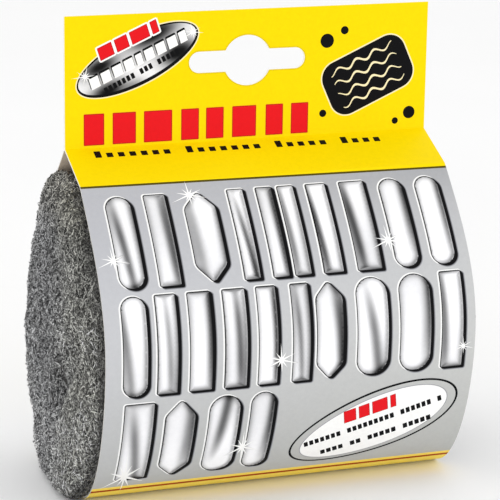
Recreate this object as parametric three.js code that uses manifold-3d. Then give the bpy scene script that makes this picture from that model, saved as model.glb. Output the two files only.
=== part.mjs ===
// Steel wool pads in a card sleeve: two soft pads lie side by side in one folded strip of card.
// The strip runs down the front, under the pads and up the back, and its two ends are glued
// together above the pads as a flat header with a hanging slot.
// Millimetres, +Z up, +X along the sleeve, -Y to the printed front.
// The profile is drawn in (y, z) about the front crease, where the header meets the front panel;
// the whole object is then moved so that its origin is the middle of its box, on the floor.

import * as THREE from 'three';
import { mergeVertices } from 'three/addons/utils/BufferGeometryUtils.js';
import Module from 'manifold-3d';

const wasm = await Module();
wasm.setup();

// Driving dimensions.
const CARD = { width: 100, thickness: 0.5 };
const HEADER = { height: 34.3, thickness: 2 * CARD.thickness };
const SLOT = { x: -0.8, z: 20.9, length: 32, height: 5.6, eyeRadius: 6.65 };
const FRONT = { foldY: -14.3, foldZ: -6.5, bulgeY: -37.3, bulgeZ: -46.5 };
const BACK = { foldY: 7.5, foldZ: -6.5, bulgeY: 30, bulgeZ: -57 };
const FOOT = { z: -89.4, frontY: -13, backY: 5 };
const CURVE_STEPS = 14;

const WOOL = { topZ: -7.5, gap: 0.3, swellLeft: 5.5, swellRight: 1.8, sag: 0.45 };
const SEAM = { topY: -3, middleY: -9, bottomY: -4 };
const PAD_END = { inside: 2, squareness: 3.6, steps: 7 };

// The sleeve's outer outline below the header, from the front crease round to the back crease.
function sleeveOutline() {
	const outline = new THREE.Path();
	outline.moveTo( 0, 0 );
	outline.lineTo( FRONT.foldY, FRONT.foldZ );
	outline.bezierCurveTo(
		FRONT.foldY - 11.5, FRONT.foldZ - 12, FRONT.bulgeY, FRONT.bulgeZ + 16, FRONT.bulgeY, FRONT.bulgeZ );
	outline.bezierCurveTo(
		FRONT.bulgeY, FRONT.bulgeZ - 21, FOOT.frontY - 13, FOOT.z, FOOT.frontY, FOOT.z );
	outline.lineTo( FOOT.backY, FOOT.z );
	outline.bezierCurveTo(
		FOOT.backY + 12, FOOT.z, BACK.bulgeY, BACK.bulgeZ - 15, BACK.bulgeY, BACK.bulgeZ );
	outline.bezierCurveTo(
		BACK.bulgeY, BACK.bulgeZ + 20, BACK.foldY + 10, BACK.foldZ - 11, BACK.foldY, BACK.foldZ );
	outline.lineTo( HEADER.thickness, 0 );
	return outline.getPoints( CURVE_STEPS );
}

// A closed convex outline moved inwards: each corner is where its two moved sides cross.
function inset( outline, distance ) {
	return outline.map( ( corner, i ) => {
		const before = outline.at( i - 1 );
		const after = outline[ ( i + 1 ) % outline.length ];
		const into = corner.clone().sub( before ).normalize();
		const out = after.clone().sub( corner ).normalize();
		const inward = new THREE.Vector2( - into.y - out.y, into.x + out.x ).normalize();
		const reach = distance / ( - into.y * inward.x + into.x * inward.y );
		return corner.clone().addScaledVector( inward, reach );
	} );
}

// ExtrudeGeometry works along +Z, so a (y, z) outline is turned to run along +X, centred on x = 0.
function extrudeAlongX( shape, length ) {
	const geometry = new THREE.ExtrudeGeometry( shape, { depth: length, bevelEnabled: false } );
	geometry.translate( 0, 0, - length / 2 );
	geometry.applyMatrix4( new THREE.Matrix4().makeBasis(
		new THREE.Vector3( 0, 1, 0 ), new THREE.Vector3( 0, 0, 1 ), new THREE.Vector3( 1, 0, 0 ) ) );
	return geometry;
}

// The hanging slot in (x, z): a round eye in the middle of a long slot with round ends.
function slotOutline() {
	const halfHeight = SLOT.height / 2;
	const endX = SLOT.length / 2 - halfHeight;
	const eyeAngle = Math.asin( halfHeight / SLOT.eyeRadius );
	const slot = new THREE.Shape();
	slot.absarc( endX, 0, halfHeight, - Math.PI / 2, Math.PI / 2 );
	slot.absarc( 0, 0, SLOT.eyeRadius, eyeAngle, Math.PI - eyeAngle );
	slot.absarc( - endX, 0, halfHeight, Math.PI / 2, 3 * Math.PI / 2 );
	slot.absarc( 0, 0, SLOT.eyeRadius, Math.PI + eyeAngle, 2 * Math.PI - eyeAngle );
	return slot;
}

// A cutter for the slot, longer than the header is thick.
function slotCutter() {
	const depth = 6 * HEADER.thickness;
	const geometry = new THREE.ExtrudeGeometry(
		slotOutline(), { depth, bevelEnabled: false, curveSegments: 12 } );
	geometry.rotateX( Math.PI / 2 );
	geometry.translate( SLOT.x, depth / 2 + HEADER.thickness / 2, SLOT.z );
	return geometry;
}

function toManifold( geometry ) {
	const bare = geometry.clone();
	bare.deleteAttribute( 'normal' );
	bare.deleteAttribute( 'uv' );
	const merged = mergeVertices( bare );
	const vertProperties = new Float32Array( merged.attributes.position.array );
	const triVerts = new Uint32Array( merged.index.array );
	return new wasm.Manifold( new wasm.Mesh( { numProp: 3, vertProperties, triVerts } ) );
}

function fromManifold( solid ) {
	const mesh = solid.getMesh();
	const geometry = new THREE.BufferGeometry();
	geometry.setAttribute( 'position', new THREE.BufferAttribute( mesh.vertProperties, 3 ) );
	geometry.setIndex( new THREE.BufferAttribute( mesh.triVerts, 1 ) );
	geometry.computeVertexNormals();
	return geometry;
}

// The folded card: a loop of one thickness under a header of two, with the slot cut through it.
function sleeveGeometry() {
	const loop = sleeveOutline();
	const section = new THREE.Shape( [
		new THREE.Vector2( 0, HEADER.height ),
		...loop,
		new THREE.Vector2( HEADER.thickness, HEADER.height ),
	] );
	section.holes.push( new THREE.Path( inset( loop, CARD.thickness ) ) );
	const folded = toManifold( extrudeAlongX( section, CARD.width ) );
	return fromManifold( folded.subtract( toManifold( slotCutter() ) ) );
}

// Where the two pads meet, in (y, z), from the bottom up: a line that bows towards the front.
function seamLine() {
	const bottom = new THREE.Vector2( SEAM.bottomY, FOOT.z + CARD.thickness + WOOL.gap );
	const top = new THREE.Vector2( SEAM.topY, WOOL.topZ );
	const middle = new THREE.Vector2( 2 * SEAM.middleY - ( SEAM.topY + SEAM.bottomY ) / 2,
		( bottom.y + top.y ) / 2 );
	return new THREE.QuadraticBezierCurve( bottom, middle, top ).getPoints( CURVE_STEPS );
}

// One pad's section: the part of the sleeve's inside on its own side of the seam.
// side is -1 for the front pad and 1 for the back pad.
function padSection( side ) {
	const seam = seamLine().map( ( p ) => new THREE.Vector2( p.x + side * WOOL.gap / 2, p.y ) );
	const room = inset( sleeveOutline(), CARD.thickness + WOOL.gap );
	const foot = SEAM.bottomY + side;
	const wall = room.filter( ( p ) => p.y < WOOL.topZ && side * ( p.x - foot ) > 0 );
	return side < 0 ? [ ...wall, ...seam ] : [ ...wall, ...seam.reverse() ];
}

// How far along and how full each ring of a pad's rounded end is: a squarish quarter ellipse.
function endSteps() {
	const steps = [];
	for ( let i = 0; i < PAD_END.steps; i ++ ) {
		const angle = i / PAD_END.steps * Math.PI / 2;
		steps.push( {
			along: Math.sin( angle ) ** ( 2 / PAD_END.squareness ),
			fullness: Math.cos( angle ) ** ( 2 / PAD_END.squareness ),
		} );
	}
	return steps;
}

// Rings of one outline, joined into a skin that closes on a tip at each end.
function loft( rings, firstTip, lastTip ) {
	const count = rings[ 0 ].length;
	const points = [ firstTip, ...rings.flat(), lastTip ];
	const last = points.length - 1;
	const index = [];
	for ( let i = 0; i < count; i ++ ) {
		const next = ( i + 1 ) % count;
		index.push( 0, 1 + next, 1 + i );
		for ( let r = 0; r < rings.length - 1; r ++ ) {
			const near = 1 + r * count;
			const far = near + count;
			index.push( near + i, near + next, far + i, far + i, near + next, far + next );
		}
		index.push( last, last - count + i, last - count + next );
	}
	const geometry = new THREE.BufferGeometry().setFromPoints( points );
	geometry.setIndex( index );
	geometry.computeVertexNormals();
	return geometry;
}

// A soft pad: its section runs through the sleeve and rounds off just past each open end.
// The pad has sagged, so its ends stand out further near the foot than near the top.
function padGeometry( side ) {
	const section = padSection( side );
	const centre = section.reduce( ( sum, p ) => sum.add( p ), new THREE.Vector2() )
		.divideScalar( section.length );
	const startX = CARD.width / 2 - PAD_END.inside;
	const halfHeight = ( WOOL.topZ - FOOT.z ) / 2;
	const place = ( p, direction, swell, along ) => {
		const lowness = ( centre.y - p.y ) / halfHeight;
		const length = PAD_END.inside + swell * ( 1 + WOOL.sag * lowness );
		return new THREE.Vector3( direction * ( startX + along * length ), p.x, p.y );
	};
	const rings = ( direction, swell ) => endSteps().map( ( { along, fullness } ) =>
		section.map( ( p ) => place( p.clone().lerp( centre, 1 - fullness ), direction, swell, along ) ) );
	const left = rings( - 1, WOOL.swellLeft ).reverse();
	const right = rings( 1, WOOL.swellRight );
	return loft( [ ...left, ...right ],
		place( centre, - 1, WOOL.swellLeft, 1 ), place( centre, 1, WOOL.swellRight, 1 ) );
}

function sleeveMesh() {
	const material = new THREE.MeshStandardMaterial( { color: 0xbfc0c4, roughness: 0.45, metalness: 0 } );
	const mesh = new THREE.Mesh( sleeveGeometry(), material );
	mesh.name = 'card_sleeve';
	return mesh;
}

function padMesh( name, side ) {
	const material = new THREE.MeshStandardMaterial( { color: 0x707070, roughness: 0.6, metalness: 1 } );
	const mesh = new THREE.Mesh( padGeometry( side ), material );
	mesh.name = name;
	return mesh;
}

const pack = new THREE.Group();
pack.add( sleeveMesh(), padMesh( 'pad_front', - 1 ), padMesh( 'pad_back', 1 ) );

// The origin goes to the middle of the object's box in x and y, and to the floor in z.
const box = new THREE.Box3().setFromObject( pack );
const middle = box.getCenter( new THREE.Vector3() );
pack.position.set( - middle.x, - middle.y, - box.min.z );

export default pack;
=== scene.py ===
import math
from collections import namedtuple

import bpy
import numpy as np
from mathutils import Matrix, Vector, noise
from mathutils.bvhtree import BVHTree
from mathutils.geometry import convex_hull_2d, delaunay_2d_cdt


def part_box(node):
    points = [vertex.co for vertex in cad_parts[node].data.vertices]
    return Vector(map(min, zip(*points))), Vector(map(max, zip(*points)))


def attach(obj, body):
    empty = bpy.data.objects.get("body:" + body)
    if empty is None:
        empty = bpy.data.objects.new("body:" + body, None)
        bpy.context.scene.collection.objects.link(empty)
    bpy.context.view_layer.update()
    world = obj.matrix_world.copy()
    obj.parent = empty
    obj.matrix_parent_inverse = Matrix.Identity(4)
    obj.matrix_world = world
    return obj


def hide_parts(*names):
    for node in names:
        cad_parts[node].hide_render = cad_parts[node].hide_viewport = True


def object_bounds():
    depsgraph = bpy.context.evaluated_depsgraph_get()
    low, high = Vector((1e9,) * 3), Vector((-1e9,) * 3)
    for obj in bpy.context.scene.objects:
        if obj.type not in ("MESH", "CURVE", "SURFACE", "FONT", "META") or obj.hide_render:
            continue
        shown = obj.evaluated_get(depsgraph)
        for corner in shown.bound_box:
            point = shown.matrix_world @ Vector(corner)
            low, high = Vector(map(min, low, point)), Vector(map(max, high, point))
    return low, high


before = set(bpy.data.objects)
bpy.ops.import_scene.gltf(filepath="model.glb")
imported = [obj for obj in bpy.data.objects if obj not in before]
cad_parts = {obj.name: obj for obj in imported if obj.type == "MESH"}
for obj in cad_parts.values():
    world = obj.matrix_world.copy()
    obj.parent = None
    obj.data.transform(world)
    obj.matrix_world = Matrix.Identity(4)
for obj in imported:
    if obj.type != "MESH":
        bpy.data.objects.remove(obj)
CAD_LOW, CAD_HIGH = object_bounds()
SLEEVE_LOW, SLEEVE_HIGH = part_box("card_sleeve")

bl_info = {
    "name": "Wool pads in a sleeve",
    "version": (1, 0, 0),
    "blender": (4, 5, 0),
    "location": "View3D > Sidebar > Wool pads",
    "description": "Adds a pack of steel wool pads held in a folded card sleeve",
    "category": "Object",
}

MM = 0.001
TINY = 1e-9

# The folded strip, in (y, z) about the front crease. Its curves run from fold to fullest place
# to foot; a handle is how far a curve's own line reaches from such a place before it bends away.
HALF_WIDTH = (SLEEVE_HIGH.x - SLEEVE_LOW.x) / 2 / MM
CENTRE_X = (SLEEVE_HIGH.x + SLEEVE_LOW.x) / 2 / MM
FRONT_FOLD = (-14.3, -6.5)
FRONT_FOLD_HANDLE = (-11.5, -12.0)
FRONT_BULGE = (-37.3, -46.5)
FRONT_BULGE_UP = (0.0, 16.0)
FRONT_BULGE_DOWN = (0.0, -21.0)
FOOT_Z = -89.4
FOOT_FRONT_Y = -13.0
FOOT_FRONT_HANDLE = (-13.0, 0.0)
FOOT_BACK_Y = 5.0
FOOT_BACK_HANDLE = (12.0, 0.0)
BACK_BULGE = (30.0, -57.0)
BACK_BULGE_DOWN = (0.0, -15.0)
BACK_BULGE_UP = (0.0, 20.0)
BACK_FOLD = (7.5, -6.5)
BACK_FOLD_HANDLE = (10.0, -11.0)
CREASE_Y = SLEEVE_LOW.y / MM - FRONT_BULGE[0]
CREASE_Z = SLEEVE_LOW.z / MM - FOOT_Z
HEADER_HEIGHT = SLEEVE_HIGH.z / MM - CREASE_Z
HEADER_THICKNESS = 1.0
CURVE_STEPS = 240

# The hanging slot, in (across, height over the crease).
SLOT_ACROSS = -0.8
SLOT_HEIGHT = 20.9
SLOT_LENGTH = 32.0
SLOT_HALF_HEIGHT = 2.8
SLOT_EYE = 6.65

# The pads, in the same frame.
WOOL_TOP = -7.5
WOOL_GAP = 0.3
SEAM_TOP_Y = -3.0
SEAM_MIDDLE_Y = -9.0
SEAM_BOTTOM_Y = -4.0
SEAM_BOTTOM_Z = FOOT_Z + 0.8


def metres(points):
    """Drawing points (x, y, z) in millimetres about the front crease, in metres in the frame."""
    return (np.asarray(points, float) + (CENTRE_X, CREASE_Y, CREASE_Z)) * MM


def drawn(points):
    """Points in metres in the frame as drawing points in millimetres."""
    return np.asarray(points, float) / MM - (CENTRE_X, CREASE_Y, CREASE_Z)


def bezier(first, first_handle, last_handle, last, steps):
    """Points along a cubic curve, without its first point; the handles are offsets from its ends."""
    t = np.linspace(0, 1, steps + 1)[1:, None]
    a, d = np.array(first, float), np.array(last, float)
    b, c = a + first_handle, d + last_handle
    return (1 - t) ** 3 * a + 3 * t * (1 - t) ** 2 * b + 3 * t * t * (1 - t) * c + t**3 * d


def sleeve_loop(steps=CURVE_STEPS):
    """The sleeve's outer line in (y, z), from the front crease round the foot to the back crease."""
    foot_front = (FOOT_FRONT_Y, FOOT_Z)
    foot_back = (FOOT_BACK_Y, FOOT_Z)
    return np.vstack([
        [(0, 0), FRONT_FOLD],
        bezier(FRONT_FOLD, FRONT_FOLD_HANDLE, FRONT_BULGE_UP, FRONT_BULGE, steps),
        bezier(FRONT_BULGE, FRONT_BULGE_DOWN, FOOT_FRONT_HANDLE, foot_front, steps),
        [foot_back],
        bezier(foot_back, FOOT_BACK_HANDLE, BACK_BULGE_DOWN, BACK_BULGE, steps),
        bezier(BACK_BULGE, BACK_BULGE_UP, BACK_FOLD_HANDLE, BACK_FOLD, steps),
        [(HEADER_THICKNESS, 0)]])


def lengths_along(points):
    """How far along an open line each of its points is."""
    return np.concatenate([[0.0], np.cumsum(np.linalg.norm(np.diff(points, axis=0), axis=1))])


LOOP = sleeve_loop()
ALONG = lengths_along(LOOP)
LOOP_LENGTH = float(ALONG[-1])
FOLD_AT = float(ALONG[1])
FOOT_FRONT_AT = float(ALONG[1 + 2 * CURVE_STEPS])
FOOT_BACK_AT = float(ALONG[2 + 2 * CURVE_STEPS])
BACK_FOLD_AT = float(ALONG[-2])


def strip_places(s):
    """Where the strip's outer face is, in (y, z), at each distance s from the front crease."""
    s = np.asarray(s, float)
    y = np.interp(s, ALONG, LOOP[:, 0])
    z = np.interp(s, ALONG, LOOP[:, 1])
    z = np.where(s < 0, -s, z)
    z = np.where(s > LOOP_LENGTH, s - LOOP_LENGTH, z)
    return np.stack([y, z], axis=1)


def strip_normals(s):
    """Which way the strip's outer face looks, in (y, z), at each distance s."""
    s = np.asarray(s, float)
    step = np.clip(np.searchsorted(ALONG, s) - 1, 0, len(LOOP) - 2)
    way = LOOP[step + 1] - LOOP[step]
    way = way / np.linalg.norm(way, axis=1)[:, None]
    out = np.stack([way[:, 1], -way[:, 0]], axis=1)
    out[s < 0] = (-1, 0)
    out[s > LOOP_LENGTH] = (1, 0)
    return out


def inset(outline, distance):
    """A closed outline moved inwards: each corner goes to where its two moved sides cross."""
    outline = np.asarray(outline, float)
    into = outline - np.roll(outline, 1, axis=0)
    out = np.roll(outline, -1, axis=0) - outline
    into = into / np.linalg.norm(into, axis=1)[:, None]
    out = out / np.linalg.norm(out, axis=1)[:, None]
    inward = np.stack([-into[:, 1] - out[:, 1], into[:, 0] + out[:, 0]], axis=1)
    inward = inward / np.linalg.norm(inward, axis=1)[:, None]
    reach = distance / (-into[:, 1] * inward[:, 0] + into[:, 0] * inward[:, 1])
    return outline + inward * reach[:, None]


# Sizes and colours that a user would change.


def linear(shown):
    """Screen values from 0 to 1 as linear light."""
    shown = np.clip(np.asarray(shown, float), 0, 1)
    return np.where(shown <= 0.04045, shown / 12.92, ((shown + 0.055) / 1.055) ** 2.4)


def length(name, description, default_mm):
    """A length given in millimetres, kept in metres."""
    return bpy.props.FloatProperty(
        name=name, description=description, default=default_mm * MM, min=0, unit="LENGTH",
        precision=5)


def colour(name, description, red, green, blue):
    """A colour given as 0 to 255 on a screen, kept as linear light."""
    shown = np.array([red, green, blue]) / 255
    return bpy.props.FloatVectorProperty(
        name=name, description=description, subtype="COLOR", size=3, min=0, max=1,
        default=tuple(float(x) for x in linear(shown)))


def number(name, description, default, **more):
    """Any other measure, with what more its property needs."""
    return bpy.props.FloatProperty(name=name, description=description, default=default, **more)


def whole_number(name, description, default):
    """A count, of at least one."""
    return bpy.props.IntProperty(name=name, description=description, default=default, min=1)


class SleeveSettings(bpy.types.PropertyGroup):
    """The card's thickness, the fineness of its mesh, and its inks"""

    card_thickness: length("Card thickness", "Thickness of one ply of the card", 0.5)
    row_step: length("Row step", "Distance between the bends that round the panels", 1.8)
    dome_step: length("Dome step", "Distance between the points that shade the printed bars", 0.6)
    header_yellow: colour("Header yellow", "The header and the flare under it", 249, 219, 0)
    silver: colour("Silver", "The panels' silver ink", 190, 191, 196)
    silver_low: colour("Lower silver", "The silver ink near the foot", 194, 195, 192)
    ink_black: colour("Black ink", "Lines, shadows and small marks", 14, 14, 16)
    ink_red: colour("Red ink", "The row of blocks and the small bars", 230, 26, 34)
    ink_white: colour("White ink", "Outlines, glints and the oval", 252, 252, 250)
    gold: colour("Gold", "The band over the foot", 255, 224, 96)
    rust_line: colour("Dark orange", "The thin line in the gold band", 168, 62, 0)
    foot_yellow: colour("Foot yellow", "The band that runs under the foot", 255, 228, 98)
    board: colour("Board", "The bare inner face of the card", 240, 222, 200)
    core: colour("Core", "The cut edges of the card", 246, 244, 238)


class WoolSettings(bpy.types.PropertyGroup):
    """The pads' ends and the loose fibres over them"""

    left_swell: length("Left swell", "How far the matted pads stand out of the left end", 4.0)
    right_swell: length("Right swell", "How far the matted pads stand out of the right end", 1.0)
    fibre_width: length("Fibre width", "Width of one shaved fibre", 0.24)
    fibre_step: length("Fibre step", "Length of one straight piece of a fibre", 0.5)
    fibre_layer: length("Fibre layer", "Depth of the loose layer over each pad", 1.1)
    left_fibres: whole_number(
        "Left fibres", "Loose fibres in each layer over a pad's left end", 4100)
    right_fibres: whole_number(
        "Right fibres", "Loose fibres in each layer over a pad's right end", 1200)
    bright_share: number(
        "Bright share", "Share of the fibres that catch the light", 0.76, min=0, max=1)
    seed: whole_number("Seed", "Changes how the fibres fall", 7)
    dark: colour("Dark wool", "Fibres that turn away from the light", 84, 84, 84)
    bright: colour("Bright wool", "Fibres that catch the light", 246, 246, 244)
    # Painted shade: the matted wool is kept dark so that the gaps between the loose fibres look shaded.
    deep: colour("Deep wool", "The matted wool under the loose layer", 94, 93, 92)


class StageSettings(bpy.types.PropertyGroup):
    """The floor, the light and the camera"""

    floor: colour("Floor", "The plain floor", 246, 246, 246)
    backdrop: colour("Backdrop", "The light all round", 255, 255, 255)
    sky_strength: number("Sky strength", "Strength of the light all round", 1.02, min=0)
    key_power: number(
        "Key power", "Power of the large lamp at the front left", 0.9, min=0, unit="POWER")
    fill_power: number("Fill power", "Power of the lamp at the right", 1.0, min=0, unit="POWER")
    top_power: number("Top power", "Power of the lamp overhead", 0.3, min=0, unit="POWER")
    camera_azimuth: number(
        "Camera azimuth", "How far round the camera stands", math.radians(-19.76), subtype="ANGLE")
    camera_elevation: number(
        "Camera elevation", "How high the camera stands", math.radians(14.88), subtype="ANGLE")
    camera_roll: number(
        "Camera roll", "How far the camera leans", math.radians(0.85), subtype="ANGLE")
    camera_distance: length("Camera distance", "How far off the camera stands", 618.7)
    lens: number("Lens", "Focal length", 167.3, unit="CAMERA")


# The print: flat shapes in (across, down the strip), the later ones over the earlier ones.

Patch = namedtuple("Patch", "outline shade seeds")


def plain(tone):
    """A shade that is the same all over."""
    tone = np.array(tone, float)
    return lambda points: np.tile(tone, (len(points), 1))


def patch(outline, shade, seeds=()):
    """One printed shape; seeds are points inside it that its shade needs."""
    return Patch(np.asarray(outline, float), shade, np.asarray(seeds, float).reshape(-1, 2))


def arc(u, s, radius, first, last, steps):
    """Points of a round corner; angles in degrees, from +across towards down the strip."""
    turn = np.radians(np.linspace(first, last, steps + 1))
    return np.stack([u + radius * np.cos(turn), s + radius * np.sin(turn)], axis=1)


def block(u, s, width, height, corner=0.3, steps=3):
    """A rectangle with round corners, about its centre."""
    w, h = width / 2 - corner, height / 2 - corner
    corners = ((w, h, 0), (-w, h, 90), (-w, -h, 180), (w, -h, 270))
    return np.vstack([arc(u + x, s + y, corner, a, a + 90, steps) for x, y, a in corners])


CORNER_STEPS = (0.0, 0.33, 0.67, 1.0)


def lozenge(u, s, width, height, point, corner):
    """An upright bar with six sides, pointed at both ends, its corners eased."""
    w, h = width / 2, height / 2
    six = [(w, h - point), (0, h), (-w, h - point), (-w, point - h), (0, -h), (w, point - h)]
    eased = []
    for i, here in enumerate(six):
        here = np.array(here, float)
        before = np.array(six[i - 1], float)
        after = np.array(six[(i + 1) % 6], float)
        a = here + (before - here) / np.linalg.norm(before - here) * corner
        b = here + (after - here) / np.linalg.norm(after - here) * corner
        for t in CORNER_STEPS:
            eased.append((1 - t) ** 2 * a + 2 * t * (1 - t) * here + t * t * b)
    return np.array(eased) + (u, s)


def ellipse(u, s, long, short, tilt=0.0, steps=96):
    """An ellipse with these half axes, its long one turned by tilt degrees."""
    turn = np.linspace(0, 2 * math.pi, steps, endpoint=False)
    flat = np.stack([long * np.cos(turn), short * np.sin(turn)], axis=1)
    return turned(flat, tilt) + (u, s)


def turned(points, degrees):
    """Points turned about the origin, from +across towards down the strip."""
    c, d = math.cos(math.radians(degrees)), math.sin(math.radians(degrees))
    return np.asarray(points, float) @ np.array([[c, d], [-d, c]])


def grown(outline, distance):
    """A convex outline grown by a distance, or shrunk by a negative one."""
    after = np.roll(outline, -1, axis=0)
    area = np.sum(outline[:, 0] * after[:, 1] - after[:, 0] * outline[:, 1])
    if area < 0:
        outline = outline[::-1]
    return inset(outline, -distance)


def hull(*outlines):
    """The tightest convex outline round several."""
    points = np.vstack(outlines)
    return points[convex_hull_2d([Vector(p) for p in points])]


# Longer lists of points are measured in parts, to spare memory.
MOST_AT_ONCE = 6000


def nearest_edge(points, outline):
    """How far each point is from an outline, and the way to the nearest place on it."""
    if len(points) > MOST_AT_ONCE:
        parts = np.array_split(points, 1 + len(points) // MOST_AT_ONCE)
        found = [nearest_edge(part, outline) for part in parts]
        return tuple(np.concatenate(each) for each in zip(*found))
    start = outline
    side = np.roll(outline, -1, axis=0) - outline
    to = points[:, None, :] - start[None]
    t = np.clip((to * side[None]).sum(2) / np.maximum((side**2).sum(1), TINY)[None], 0, 1)
    reach = start[None] + t[..., None] * side[None] - points[:, None, :]
    distance = np.linalg.norm(reach, axis=2)
    best = distance.argmin(1)
    rows = np.arange(len(points))
    near = distance[rows, best]
    return near, reach[rows, best] / np.maximum(near, TINY)[:, None]


def inside(points, outline):
    """Which points lie inside an outline, by counting the sides to their right."""
    x, y = points[:, 0], points[:, 1]
    hit = np.zeros(len(points), bool)
    for (x1, y1), (x2, y2) in zip(outline, np.roll(outline, -1, axis=0)):
        if y1 == y2:
            continue
        crosses = (y1 > y) != (y2 > y)
        hit ^= crosses & (x < (x2 - x1) * (y - y1) / (y2 - y1) + x1)
    return hit


# How finely a shape is filled between two rows of bends, and how clear of its edge, as a share of
# the step.
ROWS_BETWEEN = 3
CLEAR_OF_EDGE = 0.45


def filling(outline, step, rows):
    """Points spread evenly inside an outline, clear of its edge, some of them on each row of bends."""
    low, high = outline.min(0), outline.max(0)
    across = np.arange(low[0] + step / 2, high[0], step)
    down = [
        here + (after - here) * k / ROWS_BETWEEN
        for here, after in zip(rows, rows[1:]) for k in range(ROWS_BETWEEN)]
    down = [d for d in down if low[1] < d < high[1]]
    spread = np.array([
        (a + (step / 2 if i % 2 else 0), d) for i, d in enumerate(down) for a in across])
    spread = spread[inside(spread, outline)]
    return spread[nearest_edge(spread, outline)[0] > step * CLEAR_OF_EDGE]


def smooth(x):
    """A soft step: 0 up to 0, 1 from 1, and level at both."""
    x = np.clip(x, 0, 1)
    return x * x * (3 - 2 * x)


def rise(value, start, end):
    """0 up to the start and 1 from the end, with a soft step between them."""
    return smooth((value - start) / (end - start))


def bump(distance, reach):
    """A soft bump: 1 at no distance, and fading out past the reach."""
    return np.exp(-((distance / reach) ** 2))


def bright_grey(value):
    """Bright metal's tone at a screen lightness: a very little blue."""
    grey = linear(value)
    return np.stack([grey, grey, grey * COOLNESS], axis=1)


# A polished bar is printed as if it were domed. Its lightness has a slow ripple down it and a soft
# dark streak; its rolled edge is dark, most where it faces low right, with a thin glow inside it.
COOLNESS = 1.02
LOW_RIGHT = np.array([0.8, 0.6])
RIPPLE = 0.05
RIPPLE_TURN = 3.1
RIPPLE_SHIFT = 7
STREAK_WIDTH = 0.34
STREAK_MIDDLE = 0.42
STREAK_LENGTH = 1.25
STREAK_FADE = 1.5
STREAK_FALL = 0.3
EDGE_DARK = 0.28
EDGE_DARK_LOW_RIGHT = 0.48
EDGE_REACH = 0.8
EDGE_POWER = 1.4
GLOW = 0.16
GLOW_AT = 0.28
GLOW_WIDTH = 0.16


def polished(outline, lightness, streak, drift, depth):
    """The shade of a bar; its streak lies at streak, from -1 to 1, and drifts across as it falls."""
    low, high = outline.min(0), outline.max(0)

    def shade(points):
        across = (points[:, 0] - low[0]) / (high[0] - low[0]) * 2 - 1
        down = (points[:, 1] - low[1]) / (high[1] - low[1])
        near, way = nearest_edge(points, outline)
        facing = np.clip(way @ LOW_RIGHT, 0, 1)
        value = lightness + RIPPLE * np.sin(RIPPLE_TURN * down + RIPPLE_SHIFT * streak)
        dark = bump(across - streak - drift * (down - 0.5), STREAK_WIDTH)
        from_middle = np.abs(down - STREAK_MIDDLE - STREAK_FALL * drift)
        fade = smooth(STREAK_LENGTH - STREAK_FADE * from_middle)
        value = value - depth * dark * fade
        edge = np.exp(-((near / EDGE_REACH) ** EDGE_POWER))
        value = value - (EDGE_DARK + EDGE_DARK_LOW_RIGHT * facing) * edge
        value = value + GLOW * facing * bump(near - GLOW_AT, GLOW_WIDTH)
        return bright_grey(value)

    return shade


def fading(inner, near_tone, far_tone, reach):
    """A shade that runs from near_tone at the inner outline to far_tone at a distance from it."""
    near_tone, far_tone = np.array(near_tone, float), np.array(far_tone, float)

    def shade(points):
        away = nearest_edge(points, inner)[0]
        away = np.where(inside(points, inner), 0, away)
        t = smooth(away / reach)[:, None]
        return near_tone * (1 - t) + far_tone * t

    return shade


# Round a bar: a white line, most at its left and top, and a black shadow with a soft edge that
# falls this way. The dome lines are rows of points this far inside, for the rolled edge; a bar
# has one if it is wide enough, and only where it keeps its distance.
WHITE_LINE = 0.46
WHITE_SHIFT = (-0.2, -0.08)
SHADOW_WAY = np.array([0.78, 0.56])
SHADOW_START = 0.24
SHADOW_END = 0.04
SOFT_START = 0.2
SOFT_END = 0.4
SOFT_STRETCH = 1.1
SOFT_REACH = 0.5
DOME_LINES = (0.25, 0.6, 1.1)
DOME_ROOM = (2.4, 0.4)
DOME_CLEARANCE = 0.8


def dome_points(outline):
    """Rows of points just inside an outline, where it is wide enough for them."""
    times, more = DOME_ROOM
    narrow = outline.ptp(0).min()
    lines = [(grown(outline, -d), d) for d in DOME_LINES if narrow > times * d + more]
    return [line[nearest_edge(line, outline)[0] > DOME_CLEARANCE * d] for line, d in lines]


def polished_bar(outline, ink, step, rows, **look):
    """A bar of bright metal with a white line at its left, and a black line and shadow at its right."""
    outline = grown(outline, 0)
    white = grown(outline, WHITE_LINE) + WHITE_SHIFT
    core = hull(grown(outline, SHADOW_START), grown(outline, SHADOW_END) + SHADOW_WAY)
    soft = hull(grown(outline, SOFT_START), grown(outline, SOFT_END) + SHADOW_WAY * SOFT_STRETCH)
    seeds = np.vstack([filling(outline, step, rows), *dome_points(outline)])
    return [
        patch(white, plain(ink["pale"])),
        patch(soft, fading(core, ink["black"], ink["silver"], SOFT_REACH)),
        patch(core, plain(ink["black"])),
        patch(outline, polished(outline, **look), seeds),
    ]


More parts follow.
